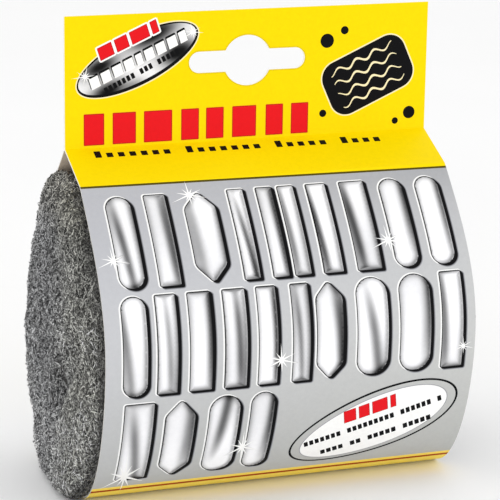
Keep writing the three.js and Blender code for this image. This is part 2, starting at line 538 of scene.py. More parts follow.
# The three rows of bright metal bars: where each row starts and ends down the strip, then each
# bar's middle, width and form of its ends, and its streak's place, drift and depth.
BAR_ROWS = (
    (19.6, 44.6, (
        (-41.4, 6.4, "round", -0.25, 0.7, 0.62), (-31.6, 5.4, "flat", 0.55, 0.2, 0.40),
        (-20.2, 8.2, "point", -0.62, 0.2, 0.30), (-10.0, 4.1, "flat", 0.10, 0.9, 0.66),
        (-2.2, 4.2, "flat", 0.70, 0.1, 0.35), (3.7, 4.2, "flat", -0.65, 0.3, 0.35),
        (12.0, 5.2, "flat", -0.75, 0.5, 0.62), (22.0, 6.6, "flat", -0.62, 0.4, 0.62),
        (32.6, 6.4, "round", 0.70, -0.4, 0.26), (42.8, 6.4, "round", 0.75, -0.3, 0.26))),
    (46.8, 72.2, (
        (-42.2, 6.2, "round", -0.70, 0.8, 0.36), (-33.8, 5.2, "flat", 0.15, 0.4, 0.40),
        (-25.0, 5.8, "flat", 0.80, -0.2, 0.30), (-15.8, 5.8, "flat", 0.30, 0.3, 0.55),
        (-7.2, 5.0, "flat", 0.80, 0.1, 0.42), (1.8, 4.6, "flat", -0.20, 0.6, 0.45),
        (9.6, 7.2, "point", 0.70, 0.4, 0.50), (21.3, 8.4, "round", 0.05, 0.9, 0.55),
        (33.2, 8.4, "round", 0.75, -0.3, 0.28), (43.6, 5.8, "flat", -0.75, 0.3, 0.40))),
    (74.6, 99.6, (
        (-40.8, 7.6, "flat", -0.10, 0.8, 0.50), (-29.8, 7.8, "point", 0.60, -0.2, 0.35),
        (-18.0, 8.0, "round", -0.20, -0.8, 0.62), (-7.8, 6.2, "round", 0.65, -0.5, 0.35))),
)
BAR_LIGHTNESS = 1.03
BAR_LIGHTNESS_STEP = 0.03
FLAT_CORNER = 0.35
POINT_CORNER = 1.0
POINT_SHARE = 0.55
ROUND_END_SLACK = 0.01


def bar_outline(u, top, bottom, width, ends):
    """A bar with round, pointed or flat ends."""
    middle, height = (top + bottom) / 2, bottom - top
    if ends == "round":
        return block(u, middle, width, height, corner=width / 2 - ROUND_END_SLACK, steps=14)
    if ends == "point":
        return lozenge(
            u, middle, width, height, point=width * POINT_SHARE, corner=POINT_CORNER)
    return block(u, middle, width, height, corner=FLAT_CORNER)


def metal_bars(ink, step, rows):
    """All the bars, no two beside each other quite as light."""
    patches = []
    for row, (top, bottom, bars) in enumerate(BAR_ROWS):
        for place, (u, width, ends, streak, drift, depth) in enumerate(bars):
            outline = bar_outline(u, top, bottom, width, ends)
            lightness = BAR_LIGHTNESS - BAR_LIGHTNESS_STEP * ((place * 2 + row) % 3)
            patches += polished_bar(
                outline, ink, step, rows, lightness=lightness, streak=streak, drift=drift,
                depth=depth)
    return patches


# The bright stars: where each is, its size, and how much longer it is down the strip. The
# lower ones are longer, because the front panel leans over there.
GLINTS = (
    (-22.3, 20.2, 1.35, 1.0), (28.3, 37.1, 1.45, 1.0), (-45.5, 37.0, 1.2, 1.0),
    (-3.7, 66.0, 1.35, 1.1), (46.7, 66.8, 0.88, 1.1), (-11.8, 91.5, 1.35, 1.5),
    (-42.3, 98.6, 1.6, 2.1))
GLINT_RAYS = (3.6, 1.9, 2.3, 1.5, 3.9, 2.6, 1.8, 3.0, 1.6, 2.8)
GLINT_HEART = 0.5


def glint(u, s, size, ink, lean=14.0, stretch=1.0):
    """A small white star of thin rays about a round heart; lean turns it, in degrees."""
    turns = np.radians(lean + 180 * np.arange(2 * len(GLINT_RAYS)) / len(GLINT_RAYS))
    reach = np.full(len(turns), GLINT_HEART)
    reach[::2] = GLINT_RAYS
    points = np.stack([np.cos(turns), np.sin(turns) * stretch], axis=1) * (size * reach)[:, None]
    return [patch(points + (u, s), plain(ink["white"]))]


BLOCK_CORNER = 0.14


def tilted_blocks(start, end, widths, height, gap, slant=0.0):
    """A row of upright blocks between two points, sized to fill it; slant leans their tops."""
    start, end = np.array(start, float), np.array(end, float)
    run = np.linalg.norm(end - start)
    tilt = math.degrees(math.atan2(end[1] - start[1], end[0] - start[0]))
    scale = (run - gap * (len(widths) - 1)) / sum(widths)
    x, shapes = 0.0, []
    for width in (share * scale for share in widths):
        shape = block(x + width / 2, 0, width, height, corner=min(BLOCK_CORNER, width / 4))
        shape[:, 0] -= slant * shape[:, 1]
        shapes.append(turned(shape, tilt) + start)
        x += width + gap
    return shapes


MARK_CORNER = 0.12
TALL_MARK = 1.45


def small_marks(start, end, groups, height, gap, ink, tall_first=False):
    """A line of small black marks in groups; the first of each group may be taller."""
    start, end = np.array(start, float), np.array(end, float)
    slots = sum(groups) + len(groups) - 1
    tilt = math.degrees(math.atan2(end[1] - start[1], end[0] - start[0]))
    width = np.linalg.norm(end - start) / slots - gap
    place, made = 0, []
    for group in groups:
        for mark in range(group):
            size = height * (TALL_MARK if tall_first and mark == 0 else 1.0)
            shape = block(0, -size / 2, width, size, corner=MARK_CORNER, steps=2)
            centre = start + (end - start) * ((place + 0.5) / slots)
            made.append(patch(turned(shape, tilt) + centre, plain(ink["black"])))
            place += 1
        place += 1
    return made


# A short row of red blocks: their widths beside each other, the gap, the lean and their edges.
RED_WIDTHS = (3.4, 3.0, 4.3, 1.6)
RED_GAP = 0.75
RED_SLANT = 0.1
RED_PALE_EDGE = 0.42
RED_DARK_EDGE = 0.17


def red_row(start, end, height, ink, outline_tone=None):
    """Four red blocks with darker edges, over a pale outline where one is asked for."""
    made = []
    shapes = tilted_blocks(start, end, RED_WIDTHS, height, RED_GAP, RED_SLANT)
    if outline_tone is not None:
        made += [patch(grown(shape, RED_PALE_EDGE), plain(outline_tone)) for shape in shapes]
    for shape in shapes:
        made.append(patch(shape, plain(ink["dark_red"])))
        made.append(patch(grown(shape, -RED_DARK_EDGE), plain(ink["red"])))
    return made


# The bright oval on the header: its middle, half sizes and tilt. Its dark reflections are given
# in its own half sizes: place, size and depth. Then come its marks, its blocks and its glints.
BADGE = (-30.6, -22.4, 17.6, 6.5, -24.5)
BADGE_DARKS = (
    (-0.56, -0.44, 0.27, 0.34, 0.95), (0.36, -0.64, 0.38, 0.40, 1.0),
    (-0.60, 0.62, 0.28, 0.38, 0.95), (0.60, 0.50, 0.27, 0.44, 1.0),
    (0.10, 0.02, 0.18, 0.20, 0.30), (-0.20, 0.85, 0.16, 0.20, 0.30))
BADGE_LIGHTNESS = 0.97
BADGE_DARKEST = 0.07
BADGE_PALE_EDGE = 0.32
BADGE_RIM = (0.5, 0.72)
BADGE_FACE_SHIFT = (-0.08, -0.18)
BADGE_MARKS = ((-39.3, -13.9), (-19.2, -23.6), (7, 3, 5), 1.5, 0.38)
BADGE_BLOCKS = (
    (-43.2, -16.4), (-17.6, -28.3), (1, 1, 1, 1, 0.7, 1, 1, 1, 0.8), 2.9, 0.78, 0.12)
BADGE_BLOCK_EDGE = 0.16
BADGE_BLOCK_SHADOW = (-0.2, -0.36)
BADGE_REDS = ((-41.0, -24.1), (-25.3, -31.1), 3.4)
BADGE_GLINTS = ((-44.6, -18.6, 0.95, 30), (-15.9, -28.9, 0.85, 5))


def badge_shade(points):
    """Bright metal with soft dark bands at the upper and lower rims, and white ends."""
    u, s, long, short, tilt = BADGE
    local = turned(points - (u, s), -tilt) / (long, short)
    value = np.full(len(points), BADGE_LIGHTNESS)
    for x, y, wide, high, depth in BADGE_DARKS:
        value -= depth * bump(local[:, 0] - x, wide) * bump(local[:, 1] - y, high)
    return bright_grey(np.clip(value, BADGE_DARKEST, 1))


def badge(ink, step):
    """A tilted oval of bright metal with a black rim, red blocks over it and white ones across it."""
    u, s, long, short, tilt = BADGE
    x, y = BADGE_FACE_SHIFT
    face = ellipse(u + x, s + y, long - BADGE_RIM[0], short - BADGE_RIM[1], tilt)
    edge = ellipse(u, s, long + BADGE_PALE_EDGE, short + BADGE_PALE_EDGE, tilt)
    made = [
        patch(edge, plain(ink["pale_yellow"])),
        patch(ellipse(u, s, long, short, tilt), plain(ink["black"])),
        patch(face, badge_shade, filling(face, step, np.arange(-HEADER_HEIGHT, 0, 3 * step))),
    ]
    made += small_marks(*BADGE_MARKS, ink)
    blocks = tilted_blocks(*BADGE_BLOCKS)
    shadows = [grown(shape, BADGE_BLOCK_EDGE) + BADGE_BLOCK_SHADOW for shape in blocks]
    made += [patch(shadow, plain(ink["black"])) for shadow in shadows]
    made += [patch(shape, plain(ink["white"])) for shape in blocks]
    made += red_row(*BADGE_REDS, ink, ink["white"])
    for x, y, size, lean in BADGE_GLINTS:
        made += glint(x, y, size, ink, lean)
    return made


# The white oval low on the front: the ring's middle, half sizes and tilt, then the oval's own.
OVAL_RING = (24.2, 88.0, 23.8, 10.5, -20.6)
OVAL_RING_WIDTH = 0.62
OVAL = (24.2, 88.1, 20.7, 8.6, -21.8)
OVAL_EDGE = 0.3
OVAL_REDS = ((15.2, 85.0), (29.2, 80.8), 4.0)
OVAL_MARKS = (
    ((5.6, 94.2), (42.6, 82.3), (7, 9, 6, 1), 1.75, 0.42),
    ((11.0, 98.0), (40.6, 88.4), (4, 2, 5, 5), 1.75, 0.42))


def white_oval(ink):
    """A tilted white oval inside a black ring, with red blocks and two lines of small marks."""
    u, s, long, short, tilt = OVAL_RING
    inner = ellipse(u, s, long - OVAL_RING_WIDTH, short - OVAL_RING_WIDTH, tilt)
    made = [patch(ellipse(*OVAL_RING), plain(ink["black"])), patch(inner, ink["silver_field"])]
    u, s, long, short, tilt = OVAL
    edge = ellipse(u, s, long + OVAL_EDGE, short + OVAL_EDGE, tilt)
    made += [patch(edge, plain(ink["dim"])), patch(ellipse(*OVAL), plain(ink["white"]))]
    made += red_row(*OVAL_REDS, ink)
    for line in OVAL_MARKS:
        made += small_marks(*line, ink)
    return made


# The row of red blocks on the header: each one's middle and width. Their edges are the orange
# line's width outside a block and the darker edge's inside it.
RED_BLOCKS = (
    (-42.3, 5.4), (-34.2, 6.2), (-25.1, 7.6), (-16.4, 4.8), (-9.6, 4.8), (-1.5, 6.6), (6.9, 4.8),
    (14.0, 4.8))
RED_BLOCKS_MIDDLE = -4.75
RED_BLOCKS_HEIGHT = 8.2
RED_BLOCKS_CORNER = 0.2
RED_BLOCKS_EDGES = (0.16, 0.2)


def red_blocks(ink):
    """Red blocks, each with a darker edge and a thin orange line round it."""
    made = []
    orange, dark = RED_BLOCKS_EDGES
    for u, width in RED_BLOCKS:
        shape = block(u, RED_BLOCKS_MIDDLE, width, RED_BLOCKS_HEIGHT, RED_BLOCKS_CORNER)
        made.append(patch(grown(shape, orange), plain(ink["orange_edge"])))
        made.append(patch(shape, plain(ink["dark_red"])))
        made.append(patch(grown(shape, -dark), plain(ink["red"])))
    return made


# The emblem at the header's right: a pad crossed by strands, each a wave that thins to its tips,
# and round dots by place and radius.
EMBLEM = (33.2, -15.4)
EMBLEM_SIZE = (25.0, 15.0)
EMBLEM_TILT = -24.0
EMBLEM_CORNER = 4.6
EMBLEM_EDGE = 0.35
STRANDS = 4
STRAND_PITCH = 3.15
STRAND_SPAN = 19.0
STRAND_POINTS = 41
STRAND_WAVE = 0.75
STRAND_TURN = 1.15
STRAND_SHIFT = 1.7
STRAND_HALF = 0.32
STRAND_TIP = 0.12
EMBLEM_DOTS = (
    (21.4, -25.0, 1.9), (26.3, -27.6, 1.1), (45.4, -4.6, 1.7), (41.4, -2.5, 0.9),
    (20.6, -5.6, 1.0))


def strand_outline(strand):
    """One wavy strand of the emblem, thinning to its tips, level and about the pad's middle."""
    run = np.linspace(-0.5, 0.5, STRAND_POINTS) * STRAND_SPAN
    middle = (strand - (STRANDS - 1) / 2) * STRAND_PITCH
    wave = middle + STRAND_WAVE * np.sin(run * STRAND_TURN + strand * STRAND_SHIFT)
    half = STRAND_HALF * np.sqrt(np.sin(np.linspace(STRAND_TIP, math.pi - STRAND_TIP, len(run))))
    return np.vstack([np.stack([run, wave - half], 1), np.stack([run, wave + half], 1)[::-1]])


def emblem(ink):
    """A black rounded pad crossed by wavy strands, with a few round dots about it."""
    pad = block(0, 0, *EMBLEM_SIZE, corner=EMBLEM_CORNER, steps=12)
    pad = turned(pad, EMBLEM_TILT) + EMBLEM
    pale, black = plain(ink["pale_yellow"]), plain(ink["black"])
    made = [patch(grown(pad, EMBLEM_EDGE), pale), patch(pad, black)]
    for strand in range(STRANDS):
        made.append(patch(turned(strand_outline(strand), EMBLEM_TILT) + EMBLEM, pale))
    for x, y, radius in EMBLEM_DOTS:
        made.append(patch(ellipse(x, y, radius, radius, steps=28), black))
    return made


# A darker rim is printed this wide round the slot.
SLOT_RIM = 0.32
SLOT_RIM_TONE = 0.8
SLOT_END_STEPS = 14
SLOT_EYE_STEPS = 20


def slot_outline(extra=0.0, middle=-SLOT_HEIGHT):
    """The slot in (across, down the strip): a round eye in a long slot with round ends."""
    half = SLOT_HALF_HEIGHT + extra
    eye = SLOT_EYE + extra
    end = SLOT_LENGTH / 2 - SLOT_HALF_HEIGHT
    corner = math.degrees(math.asin(half / eye))
    return np.vstack([
        arc(SLOT_ACROSS + end, middle, half, -90, 90, SLOT_END_STEPS),
        arc(SLOT_ACROSS, middle, eye, corner, 180 - corner, SLOT_EYE_STEPS),
        arc(SLOT_ACROSS - end, middle, half, 90, 270, SLOT_END_STEPS),
        arc(SLOT_ACROSS, middle, eye, 180 + corner, 360 - corner, SLOT_EYE_STEPS),
    ])


# The fields of colour down the strip. The line along the fold, and the border under it, which
# drops further at the right, are this wide. The bands at the foot start at these places on the
# front, and are raised on the back.
STRIP_TOP = -HEADER_HEIGHT
STRIP_BOTTOM = LOOP_LENGTH + HEADER_HEIGHT
FOLD_LINE = 0.45
BORDER_DROPS = (0.08, 0.95)
BORDER_LINE = 0.6
BANDS_AT = (103.2, 104.65, 105.85)
BANDS_RAISED = 4.0


def field_ends():
    """Where the strip's fields of colour meet, on the front and then on the back."""
    front = [FOLD_AT, FOLD_AT + FOLD_LINE, *BANDS_AT]
    back = [BACK_FOLD_AT, BACK_FOLD_AT - FOLD_LINE]
    back += [LOOP_LENGTH - (band - BANDS_RAISED) for band in BANDS_AT]
    return front, back


def strip_fields(ink):
    """The fields of colour from the header's top down the front, round the foot and up the back."""
    front, back = field_ends()
    ends = [STRIP_TOP, *front, *back[::-1], STRIP_BOTTOM]
    to_foot = [
        ink["yellow_field"], plain(ink["fold_line"]), ink["silver_field"], plain(ink["gold"]),
        plain(ink["rust_line"])]
    shades = [*to_foot, plain(ink["foot_yellow"]), *to_foot[::-1]]
    w = HALF_WIDTH
    return [
        patch([(-w, a), (w, a), (w, b), (-w, b)], shade)
        for a, b, shade in zip(ends, ends[1:], shades)]


def border_ends():
    """Where the flare's lower border starts and ends, at the left side and at the right."""
    return [(FOLD_AT + drop, FOLD_AT + drop + BORDER_LINE) for drop in BORDER_DROPS]


def fold_border(ink):
    """The flare's lower border: its print runs a little past the fold, and further at the right."""
    (left, left_end), (right, right_end) = border_ends()
    w = HALF_WIDTH
    return [
        patch([(-w, FOLD_AT), (w, FOLD_AT), (w, right), (-w, left)], ink["yellow_field"]),
        patch([(-w, left), (w, right), (w, right_end), (-w, left_end)], plain(ink["fold_line"])),
    ]


# The silver runs from its upper tone to its lower one down the panel and a little across it. It has a
# painted sheen round the front's fullest part, and a painted shadow under the fold, most at the right.
DOWN_SHARE = 0.7
ACROSS_SHARE = 0.3
SHEEN_BASE = 0.905
SHEEN = 0.15
SHEEN_AT = 43.0
SHEEN_REACH = 26.0
FOLD_SHADE = 0.17
FOLD_SHADE_REACH = 9.0
FLARE_TONE = 0.985


def inks(settings):
    """The inks as linear light, with the few mixed ones that edges need."""
    ink = {
        "black": settings.ink_black, "red": settings.ink_red, "white": settings.ink_white,
        "silver": settings.silver, "gold": settings.gold, "rust_line": settings.rust_line,
        "foot_yellow": settings.foot_yellow, "yellow": settings.header_yellow}
    ink = {name: np.array(tone, float) for name, tone in ink.items()}
    low = np.array(settings.silver_low, float)
    ink["dark_red"] = ink["red"] * 0.55
    ink["orange_edge"] = ink["yellow"] * 0.7 + ink["red"] * 0.3
    ink["pale_yellow"] = ink["yellow"] * 0.45 + ink["white"] * 0.55
    ink["pale"] = ink["white"] * 0.86 + ink["silver"] * 0.14
    ink["dim"] = ink["silver"] * 0.72
    ink["fold_line"] = ink["yellow"] * 0.09 + ink["black"] * 0.7

    def silver_field(points):
        below = points[:, 1] - FOLD_AT
        right = (points[:, 0] / HALF_WIDTH + 1) / 2
        down = np.clip(below / (BANDS_AT[0] - FOLD_AT), 0, 1)
        t = smooth(DOWN_SHARE * down + ACROSS_SHARE * right)[:, None]
        # Painted light and shade: a sheen across the panel's middle, and a shadow under the fold at the
        # right.
        sheen = SHEEN_BASE + SHEEN * bump(below - SHEEN_AT, SHEEN_REACH)
        shadow = 1 - FOLD_SHADE * smooth(right) * bump(below, FOLD_SHADE_REACH)
        return (ink["silver"] * (1 - t) + low * t) * (sheen * shadow)[:, None]

    def yellow_field(points):
        flare = (points[:, 1] > 0) & (points[:, 1] < LOOP_LENGTH)
        return ink["yellow"] * np.where(flare, FLARE_TONE, 1.0)[:, None]

    ink["silver_field"] = silver_field
    ink["yellow_field"] = yellow_field
    return ink


# The line of small marks on the flare.
FLARE_MARKS = ((-43.6, 4.3), (36.4, 4.6), (7, 7, 5, 4), 1.9, 1.35)


def printed_patches(settings, rows):
    """The strip's fields of colour, and the shapes printed over them."""
    ink = inks(settings)
    step = settings.dome_step / MM
    shapes = fold_border(ink)
    shapes.append(patch(slot_outline(SLOT_RIM), plain(ink["yellow"] * SLOT_RIM_TONE)))
    shapes += metal_bars(ink, step, rows)
    for u, s, size, stretch in GLINTS:
        shapes += glint(u, s, size, ink, stretch=stretch)
    shapes += badge(ink, step)
    shapes += red_blocks(ink)
    shapes += small_marks(*FLARE_MARKS, ink, tall_first=True)
    shapes += white_oval(ink)
    shapes += emblem(ink)
    return strip_fields(ink), shapes


# No row on a curve comes closer than this share of a step to a fold or a border.
CLOSEST_ROWS = 0.35


def bend_rows(step):
    """Where the strip needs a row of points: at each fold and border, and every step round a curve."""
    front, back = field_ends()
    fixed = {0.0, LOOP_LENGTH, FOOT_FRONT_AT, FOOT_BACK_AT, *front, *back}
    fixed |= {place for side in border_ends() for place in side}
    rows = set(fixed)
    for first, last in ((FOLD_AT, FOOT_FRONT_AT), (FOOT_BACK_AT, BACK_FOLD_AT)):
        count = max(1, round((last - first) / step))
        rows |= {first + (last - first) * i / count for i in range(1, count)}
    close = CLOSEST_ROWS * step
    kept = [s for s in rows if s in fixed or all(abs(s - f) >= close for f in fixed)]
    return np.array(sorted(kept))


CUT_TOLERANCE = 1e-5


class Sheet:
    """The strip laid flat and cut into triangles along its bends and every printed outline."""

    def __init__(self, rows, shapes):
        self.points = []
        self.edges = []
        w = HALF_WIDTH
        ends = (STRIP_TOP, *rows, STRIP_BOTTOM)
        left = self.line([(-w, s) for s in ends], closed=False)
        right = self.line([(w, s) for s in ends], closed=False)
        self.edges += [(left[0], right[0]), (left[-1], right[-1])]
        self.edges += list(zip(left[1:-1], right[1:-1]))
        front_slot = self.line(slot_outline())
        back_slot = self.line([(u, LOOP_LENGTH - s) for u, s in slot_outline()])
        for outline, _, seeds in shapes:
            if np.abs(outline[:, 0]).max() > w:
                raise ValueError("a printed shape runs off the side of the card")
            self.line(outline)
            self.add(seeds)
        now = self.cut()
        self.left, self.right, self.front_slot, self.back_slot = (
            [now[i] for i in line] for line in (left, right, front_slot, back_slot))

    def add(self, points):
        """Adds loose points, which become corners of triangles."""
        self.points += [Vector((float(p[0]), float(p[1]))) for p in points]

    def line(self, points, closed=True):
        """Adds a line to cut along, and gives the numbers of its points."""
        first, count = len(self.points), len(points)
        self.add(points)
        self.edges += [(first + i, first + i + 1) for i in range(count - 1)]
        if closed:
            self.edges.append((first + count - 1, first))
        return list(range(first, first + count))

    def cut(self):
        """Makes the triangles, without the slot's, and says which point each old one became."""
        points, _, faces, origins, _, _ = delaunay_2d_cdt(
            self.points, self.edges, [], 0, CUT_TOLERANCE)
        self.flat = np.array([(p.x, p.y) for p in points])
        faces = np.array([f for f in faces if len(f) == 3])
        middles = self.flat[faces].mean(1)
        slots = (slot_outline(), slot_outline(middle=LOOP_LENGTH + SLOT_HEIGHT))
        hole = inside(middles, slots[0]) | inside(middles, slots[1])
        self.faces = self.wound(faces[~hole])
        return {old: new for new, olds in enumerate(origins) for old in olds}

    def wound(self, faces):
        """The triangles, each wound so that it faces out of the loop."""
        a, b, c = (self.flat[faces[:, i]] for i in range(3))
        b, c = b - a, c - a
        turn = b[:, 0] * c[:, 1] - b[:, 1] * c[:, 0]
        return np.where((turn > 0)[:, None], faces[:, [0, 2, 1]], faces)


def shaded_corners(flat, faces, patches):
    """The tone of each triangle's corners: that of the last patch that covers its middle."""
    middle = flat[faces].mean(1)
    owner = np.zeros(len(faces), int)
    for place, (outline, _, _) in enumerate(patches):
        low, high = outline.min(0), outline.max(0)
        near = np.flatnonzero(((middle >= low) & (middle <= high)).all(1))
        owner[near[inside(middle[near], outline)]] = place
    tones = np.zeros((len(faces), 3, 3))
    for place in np.unique(owner):
        mine = np.flatnonzero(owner == place)
        corners = flat[faces[mine]].reshape(-1, 2)
        tones[mine] = patches[place].shade(corners).reshape(-1, 3, 3)
    return tones.reshape(-1, 3)


# Making meshes and materials.


def link(name, data):
    """An object in the scene that shows a mesh, a lamp or a camera."""
    piece = bpy.data.objects.new(name, data)
    bpy.context.scene.collection.objects.link(piece)
    return piece


def make_object(name, points, faces, materials):
    """A mesh of these points and faces, shown in the scene."""
    mesh = bpy.data.meshes.new(name)
    mesh.from_pydata([tuple(p) for p in points], [], faces)
    for material in materials:
        mesh.materials.append(material)
    return link(name, mesh)


def lay_map(mesh, places):
    """Gives a mesh its map for baked looks, with one place for each corner of each face."""
    layer = mesh.uv_layers.new(name="OFBake")
    layer.data.foreach_set("uv", np.asarray(places, np.float32).ravel())


def new_material(name):
    """A material with its shader, and the tree to build it in."""
    material = bpy.data.materials.new(name)
    material.use_nodes = True
    tree = material.node_tree
    shader = next(n for n in tree.nodes if n.type == "BSDF_PRINCIPLED")
    return material, tree, shader


def noise_of(tree, scale, detail=3.0, rough=0.55):
    """Noise through the object, its scale in waves to the metre."""
    place = tree.nodes.new("ShaderNodeTexCoord")
    texture = tree.nodes.new("ShaderNodeTexNoise")
    texture.inputs["Scale"].default_value = scale
    texture.inputs["Detail"].default_value = detail
    texture.inputs["Roughness"].default_value = rough
    tree.links.new(place.outputs["Object"], texture.inputs["Vector"])
    return texture.outputs["Fac"]


def ramp_of(tree, value, *stops):
    """Noise or any value turned into tones between the given stops."""
    ramp = tree.nodes.new("ShaderNodeValToRGB")
    while len(ramp.color_ramp.elements) < len(stops):
        ramp.color_ramp.elements.new(0.5)
    for element, (place, tone) in zip(ramp.color_ramp.elements, stops):
        element.position = place
        element.color = (*tone, 1)
    tree.links.new(value, ramp.inputs["Fac"])
    return ramp.outputs["Color"]


# Noise seldom leaves this part of its range from 0 to 1.
NOISE_LOW = 0.25
NOISE_HIGH = 0.75


def spread_of(tree, value, low, high):
    """Noise moved to between low and high."""
    node = tree.nodes.new("ShaderNodeMapRange")
    node.inputs["From Min"].default_value = NOISE_LOW
    node.inputs["From Max"].default_value = NOISE_HIGH
    node.inputs["To Min"].default_value = low
    node.inputs["To Max"].default_value = high
    tree.links.new(value, node.inputs["Value"])
    return node.outputs["Result"]


def times(tree, first, second):
    """Two tones multiplied."""
    node = tree.nodes.new("ShaderNodeMix")
    node.data_type = "RGBA"
    node.blend_type = "MULTIPLY"
    node.inputs["Factor"].default_value = 1.0
    colours = [socket for socket in node.inputs if socket.type == "RGBA"]
    tree.links.new(first, colours[0])
    tree.links.new(second, colours[1])
    return next(socket for socket in node.outputs if socket.type == "RGBA")


def attribute_of(tree, name):
    """A tone kept in the mesh."""
    node = tree.nodes.new("ShaderNodeAttribute")
    node.attribute_name = name
    return node.outputs["Color"]


def bumped(tree, shader, height, depth, strength):
    """Gives a shader's surface a relief of this depth in metres."""
    relief = tree.nodes.new("ShaderNodeBump")
    relief.inputs["Strength"].default_value = strength
    relief.inputs["Distance"].default_value = depth
    tree.links.new(height, relief.inputs["Height"])
    tree.links.new(relief.outputs["Normal"], shader.inputs["Normal"])


def printed_card_material():
    """Varnished print: the ink's own tone, faintly mottled, over the grain of the board."""
    material, tree, shader = new_material("printed_card")
    mottle = noise_of(tree, scale=900, detail=4)
    dots = noise_of(tree, scale=4500, detail=2)
    soft = ramp_of(tree, mottle, (0.3, (0.955, 0.955, 0.96)), (0.7, (1, 1, 1)))
    fine = ramp_of(tree, dots, (0.35, (0.97, 0.97, 0.97)), (0.65, (1, 1, 1)))
    toned = times(tree, times(tree, attribute_of(tree, "ink"), soft), fine)
    tree.links.new(toned, shader.inputs["Base Color"])
    tree.links.new(spread_of(tree, mottle, 0.40, 0.52), shader.inputs["Roughness"])
    shader.inputs["Specular IOR Level"].default_value = 0.06
    grain = noise_of(tree, scale=1400, detail=3)
    bumped(tree, shader, grain, depth=0.00003, strength=0.35)
    return material


def bare_board_material(tone, name):
    """Unprinted board: felted fibres with darker flecks."""
    material, tree, shader = new_material(name)
    tone = np.array(tone, float)
    fibres = noise_of(tree, scale=1600, detail=5, rough=0.65)
    toned = ramp_of(tree, fibres, (0.3, tone * 0.82), (0.55, tone), (0.8, tone * 1.06))
    tree.links.new(toned, shader.inputs["Base Color"])
    tree.links.new(spread_of(tree, fibres, 0.78, 0.92), shader.inputs["Roughness"])
    bumped(tree, shader, fibres, depth=0.00006, strength=0.5)
    return material


# The card's map for baked looks: the printed face laid flat, its back beside its front; below
# them the bare face as a strip, and a small cell for each piece of cut edge.
SHEET_SCALE = 208.0
MAP_FRONT = (0.01, 0.99)
MAP_BACK = (0.51, 0.99)
BOARD_LEFT = 0.01
BOARD_WIDTH = 0.3
BOARD_HEIGHT = 0.16
BOARD_CLOSING = 0.001
CELLS_LEFT = 0.34
CELLS_LOW = 0.02
CELLS_IN_ROW = 240
CELL_PITCH = (0.0025, 0.004)
CELL_SIZE = (0.002, 0.003)

# The bare face has this many columns. A printed corner looks the way the card does this share of
# the way into its triangle, so that a fold stays sharp.
INNER_COLUMNS = 24
INTO_FACE = 0.02
PRINT_FACE, BOARD_FACE, CORE_FACE = 0, 1, 2


class Card:
    """The folded card's faces, with the way each of their corners looks and its place on the map."""

    def __init__(self, sheet, rows):
        self.sheet = sheet
        self.rows = rows
        self.faces = []
        self.slots = []
        self.looks = []
        self.places = []
        self.cells = 0
        self.add_print()
        self.add_board()
        self.add_side_edges()
        self.add_slot_wall()

    def inner(self, row, column):
        """The number of a point of the inner face; those of the printed face come first."""
        return len(self.sheet.flat) + row % len(self.rows) * (INNER_COLUMNS + 1) + column

    def add_print(self):
        """The printed face; its corners look the way the card does a little inside their triangle."""
        flat, faces = self.sheet.flat, self.sheet.faces
        s = flat[faces][:, :, 1]
        out = strip_normals((s + (s.mean(1, keepdims=True) - s) * INTO_FACE).ravel())
        front = MAP_FRONT + (flat - (-HALF_WIDTH, STRIP_TOP)) / SHEET_SCALE * (1, -1)
        back = MAP_BACK + ((HALF_WIDTH, STRIP_BOTTOM) - flat) / SHEET_SCALE * (1, -1)
        behind = (s.mean(1) > FOOT_BACK_AT)[:, None, None]
        self.faces += faces.tolist()
        self.slots += [PRINT_FACE] * len(faces)
        self.looks += np.column_stack([np.zeros(len(out)), out]).tolist()
        self.places += np.where(behind, back[faces], front[faces]).reshape(-1, 2).tolist()

    def add_board(self):
        """The bare inner face: a ring of rows whose ends meet the printed face's side edges."""
        across = BOARD_LEFT + BOARD_WIDTH * np.arange(INNER_COLUMNS + 1) / INNER_COLUMNS
        down = BOARD_HEIGHT * np.append(self.rows, LOOP_LENGTH) / LOOP_LENGTH
        down[-1] += BOARD_CLOSING
        out = [(0, -y, -z) for y, z in strip_normals((self.rows[:-1] + self.rows[1:]) / 2)]
        out.append((0, 0, -1))
        for r in range(len(self.rows)):
            for k in range(INNER_COLUMNS):
                corners = ((r, k), (r, k + 1), (r + 1, k + 1), (r + 1, k))
                self.faces.append([self.inner(*corner) for corner in corners])
                self.slots.append(BOARD_FACE)
                self.looks += [out[r]] * 4
                self.places += [(across[column], down[row]) for row, column in corners]

    def edge(self, corners, out):
        """One four-sided piece of cut edge, in the next free cell of the map."""
        row, column = divmod(self.cells, CELLS_IN_ROW)
        self.cells += 1
        x = CELLS_LEFT + CELL_PITCH[0] * column
        y = CELLS_LOW + CELL_PITCH[1] * row
        wide, high = CELL_SIZE
        self.faces.append(corners)
        self.slots.append(CORE_FACE)
        self.looks += [out] * 4
        self.places += [(x, y), (x + wide, y), (x + wide, y + high), (x, y + high)]

    def add_side_edges(self):
        """The cut edges along both sides of the loop and the header, and along the header's top."""
        left, right = self.sheet.left, self.sheet.right
        for side, line, column in ((-1, left, 0), (1, right, INNER_COLUMNS)):
            ring = line[1:-1]
            quads = [
                (here, after, self.inner(r + 1, column), self.inner(r, column))
                for r, (here, after) in enumerate(zip(ring, ring[1:] + ring[:1]))]
            quads.append((line[0], ring[0], ring[-1], line[-1]))
            for quad in quads:
                self.edge(quad if side > 0 else quad[::-1], (side, 0, 0))
        self.edge((left[0], right[0], right[-1], left[-1]), (0, 0, 1))

    def add_slot_wall(self):
        """The slot's wall, from the front ply's outline to the back ply's."""
        front, back = self.sheet.front_slot, self.sheet.back_slot
        for i in range(len(front)):
            after = (i + 1) % len(front)
            across, down = self.sheet.flat[front[after]] - self.sheet.flat[front[i]]
            run = max(math.hypot(across, down), TINY)
            quad = (front[i], back[i], back[after], front[after])
            self.edge(quad, (-down / run, 0, -across / run))


